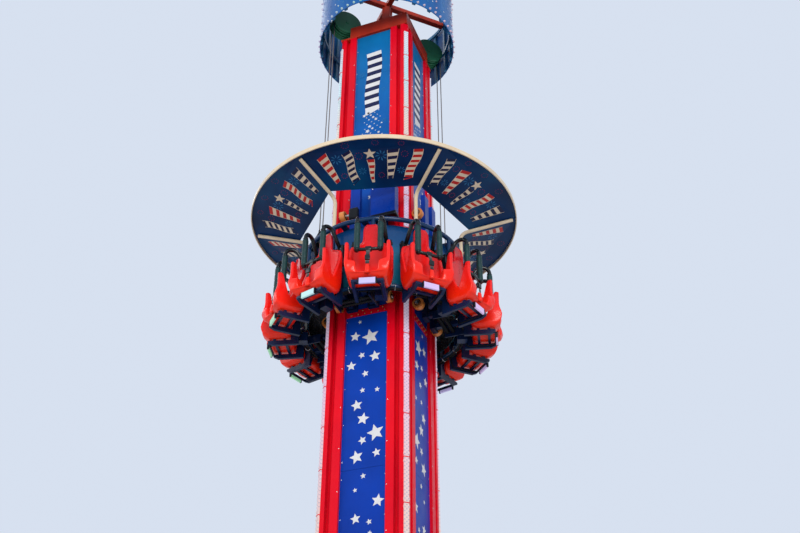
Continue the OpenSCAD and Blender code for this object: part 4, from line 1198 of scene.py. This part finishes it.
def wheelHubs(s):
    # a dished disc on each side of a guide wheel, with bolts and a capped axle end
    hub = s.hub
    disc = lathed([(hub, 0.0), (hub, 0.004), (hub * 0.86, 0.007), (hub * 0.5, 0.005),
                   (0.016, 0.006), (0.015, 0.013), (0.009, 0.015)], 24)
    count, size, radius, height = s.bolts
    a = 2 * pi * arange(count) / count
    circle = zipped(radius * cos(a), radius * sin(a), height)
    points, faces = joined([disc, stamped(*boltHead, np.eye(3)[None] * size, circle)])
    parts = []
    for x in (-s.x, s.x):
        for side in (-1, 1):
            for z in s.heights:
                local = points[:, [2, 0, 1]] * [side, side, 1]
                parts.append(closed(local + [x + side * s.halfWidth, -s.out, z], faces))
    shape = around(joined(parts), faceAzimuths)
    makePiece("wheel_hubs", shape, blackPaint, "gondola", "black_paint", smooth=False)


wheelHubs(wheelSettings)
print("fixings made")


# Wiring, housings and trims on the gondola

gondolaSettings = Settings(
    ring=1.004, lowZ=8.04, pipe=0.03, conduit=0.011,
    # for each conduit: offset from the ring, sags round it and their depth; then how far both
    # wander in and out and how often, and the degrees between clips
    conduits=[(-0.016, 12, 0.02), (0.016, 24, 0.014)], wander=(0.004, 5), clipStep=15,
    # the clips: radius across and up, drop from the ring, radius of the wire
    clip=(0.041, 0.045, 0.011, 0.0045),
    lead=[(0.138, 0.985, 7.995), (0.138, 1.03, 7.845), (0.138, 1.3, 7.845),
          (0.09, 1.372, 7.85)],
    leadBend=0.035, leadRadius=0.007,
    # the light bars' ends: across, distance out, height, and half sizes of the caps
    ends=(0.1, 1.393, 7.851), cap=(0.008, 0.014, 0.038),
)


def gondolaTrim(s):
    # two conduits clipped to the lower ring, sagging a little between clips
    a = radians(arange(0, 360, 2.5))
    parts = []
    for offset, waves, dip in s.conduits:
        r = s.ring + offset + s.wander[0] * sin(s.wander[1] * a)
        z = s.lowZ - s.pipe - s.conduit - dip * (0.5 - 0.5 * cos(waves * a))
        path = zipped(r * sin(a), -r * cos(a), z)
        parts.append(tube(path, s.conduit, 10, loop=True))
    makePiece("ring_conduits", joined(parts), rubberBlack, "gondola", "black_paint")
    wide, high, drop, wire = s.clip
    t = radians(linspace(0, 360, 17)[:-1])
    rise = zipped(0, 0, s.lowZ - drop + high * sin(t))
    parts = []
    for angle in radians(arange(0, 360, s.clipStep)):
        out = array([math.sin(angle), -math.cos(angle), 0.0])
        path = (s.ring + wide * cos(t))[:, None] * out + rise
        parts.append(tube(path, wire, 6, lead=np.cross(out, (0, 0, 1)), loop=True))
    makePiece("conduit_clips", joined(parts), boltSteel, "gondola", "rope_steel")
    # a lead from the ring along each seat's carrier to its light bar
    lead = rod(bentPath(s.lead, s.leadBend, 6), s.leadRadius, 8, lead=(1, 0, 0.2))
    leads = around(lead, seatAzimuths)
    makePiece("light_leads", leads, rubberBlack, "gondola", "black_paint")
    x, out, z = s.ends
    ends = [softBox(outward((side * x, out, z)), s.cap, 0.25, 8, 16) for side in (-1, 1)]
    caps = around(joined(ends), seatAzimuths)
    makePiece("light_end_caps", caps, blackPaint, "gondola", "black_paint")


housingSettings = Settings(
    # the tray: height of its middle over the cover's foot, width and depth past it, half height
    tray=(0.01, 0.012, 0.006, 0.026),
    # middle and half sizes of the junction box and its lid
    box=((-0.135, -0.672, 9.41), (0.062, 0.034, 0.088)),
    lid=((-0.135, -0.703, 9.41), (0.054, 0.008, 0.078)),
    # the cover's screws: distances from its edges and size
    screws=(0.018, 0.02, 0.016),
)


def housings(s):
    # a tray under the mast cover and a junction box on the left mast
    low, high = (array(corner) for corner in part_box("mast_cover"))
    middle, half = (low + high) / 2, (high - low) / 2
    rise, wide, deep, tall = s.tray
    tray = softBox((middle[0], middle[1], low[2] + rise), (half[0] + wide, half[1] + deep, tall),
                   0.14, 12, 48)
    shapes = [tray, softBox(*s.box, 0.18, 12, 32), softBox(*s.lid, 0.18, 8, 32)]
    makePiece("mast_housings", joined(shapes), blackPaint, "gondola", "black_paint")
    inX, inZ, size = s.screws
    k = array([(-1, -1), (1, -1), (-1, 1), (1, 1)])
    across, heights = middle[0] + k[:, 0] * (half[0] - inX), middle[2] + k[:, 1] * (half[2] - inZ)
    table = zipped(0, across, -low[1], heights, size)
    fastened("cover_screws", screwHead, table, boltSteel, "rope_steel", "gondola")


gondolaTrim(gondolaSettings)
housings(housingSettings)
print("gondola dressed")


# Camera, floor and light

cameraSettings = Settings(
    place=(3.996, -9.71, 1.6), lens=45.0, sensor=36.0, pitch=35.25, heading=21.21, roll=0.19,
    farthest=200.0,
)


def aimCamera(s):
    camera = linked("camera", bpy.data.cameras.new("camera"))
    camera.data.lens, camera.data.sensor_width = s.lens, s.sensor
    camera.data.clip_end = s.farthest
    turn = lambda degrees, axis: Matrix.Rotation(math.radians(degrees), 4, axis)
    camera.matrix_world = (Matrix.Translation(s.place) @ turn(s.heading, "Z")
                           @ turn(90 + s.pitch, "X") @ turn(s.roll, "Z"))
    bpy.context.scene.camera = camera


aimCamera(cameraSettings)

worldSettings = Settings(light=(0.52, 0.54, 0.57), seen=(0.68, 0.75, 0.87))


def softWorld(s):
    # pale all round to the camera and to gloss, a plain dimmer grey as light
    m = Mix(bpy.data.worlds.new("studio"), "Background")
    rays = m.add("ShaderNodeLightPath").outputs
    glossy = m.math("MAXIMUM", rays["Is Glossy Ray"], rays["Is Transmission Ray"])
    seen = m.math("MAXIMUM", rays["Is Camera Ray"], glossy)
    bpy.context.scene.world = m.finish(worldColor=m.blend(seen, s.light, s.seen), worldStrength=1.0)


softWorld(worldSettings)

# name, direction of the light, width in degrees and strength of each broad soft lamp
lampSettings = [
    ("keyLamp", (-0.45, 0.85, -0.14), 35, 2.3),
    ("fillLamp", (0.9, 0.45, -0.2), 50, 1.0),
    ("topLamp", (0.4, -0.6, -0.9), 50, 0.8),
]
for name, toward, wide, strength in lampSettings:
    lamp = bpy.data.lights.new(name, "SUN")
    lamp.angle = math.radians(wide)
    lamp.energy = strength
    linked(name, lamp).rotation_euler = Vector(toward).to_track_quat("-Z", "Y").to_euler()

floorSettings = Settings(half=60.0, z=-0.002, tones=((0.76, 0.76, 0.75), (0.8, 0.8, 0.79)))


def paleFloor(s):
    half, z = s.half, s.z
    mesh = bpy.data.meshes.new("floor")
    mesh.from_pydata([(-half, -half, z), (half, -half, z), (half, half, z), (-half, half, z)],
                     [], [(0, 1, 2, 3)])
    m = newMix("floorPale")
    mesh.materials.append(m.finish(color=m.blend(m.mottle(0.4), *s.tones), roughness=0.8))
    linked("floor", mesh)


paleFloor(floorSettings)
bpy.context.scene.view_settings.view_transform = "Standard"
print("camera, floor and light set")
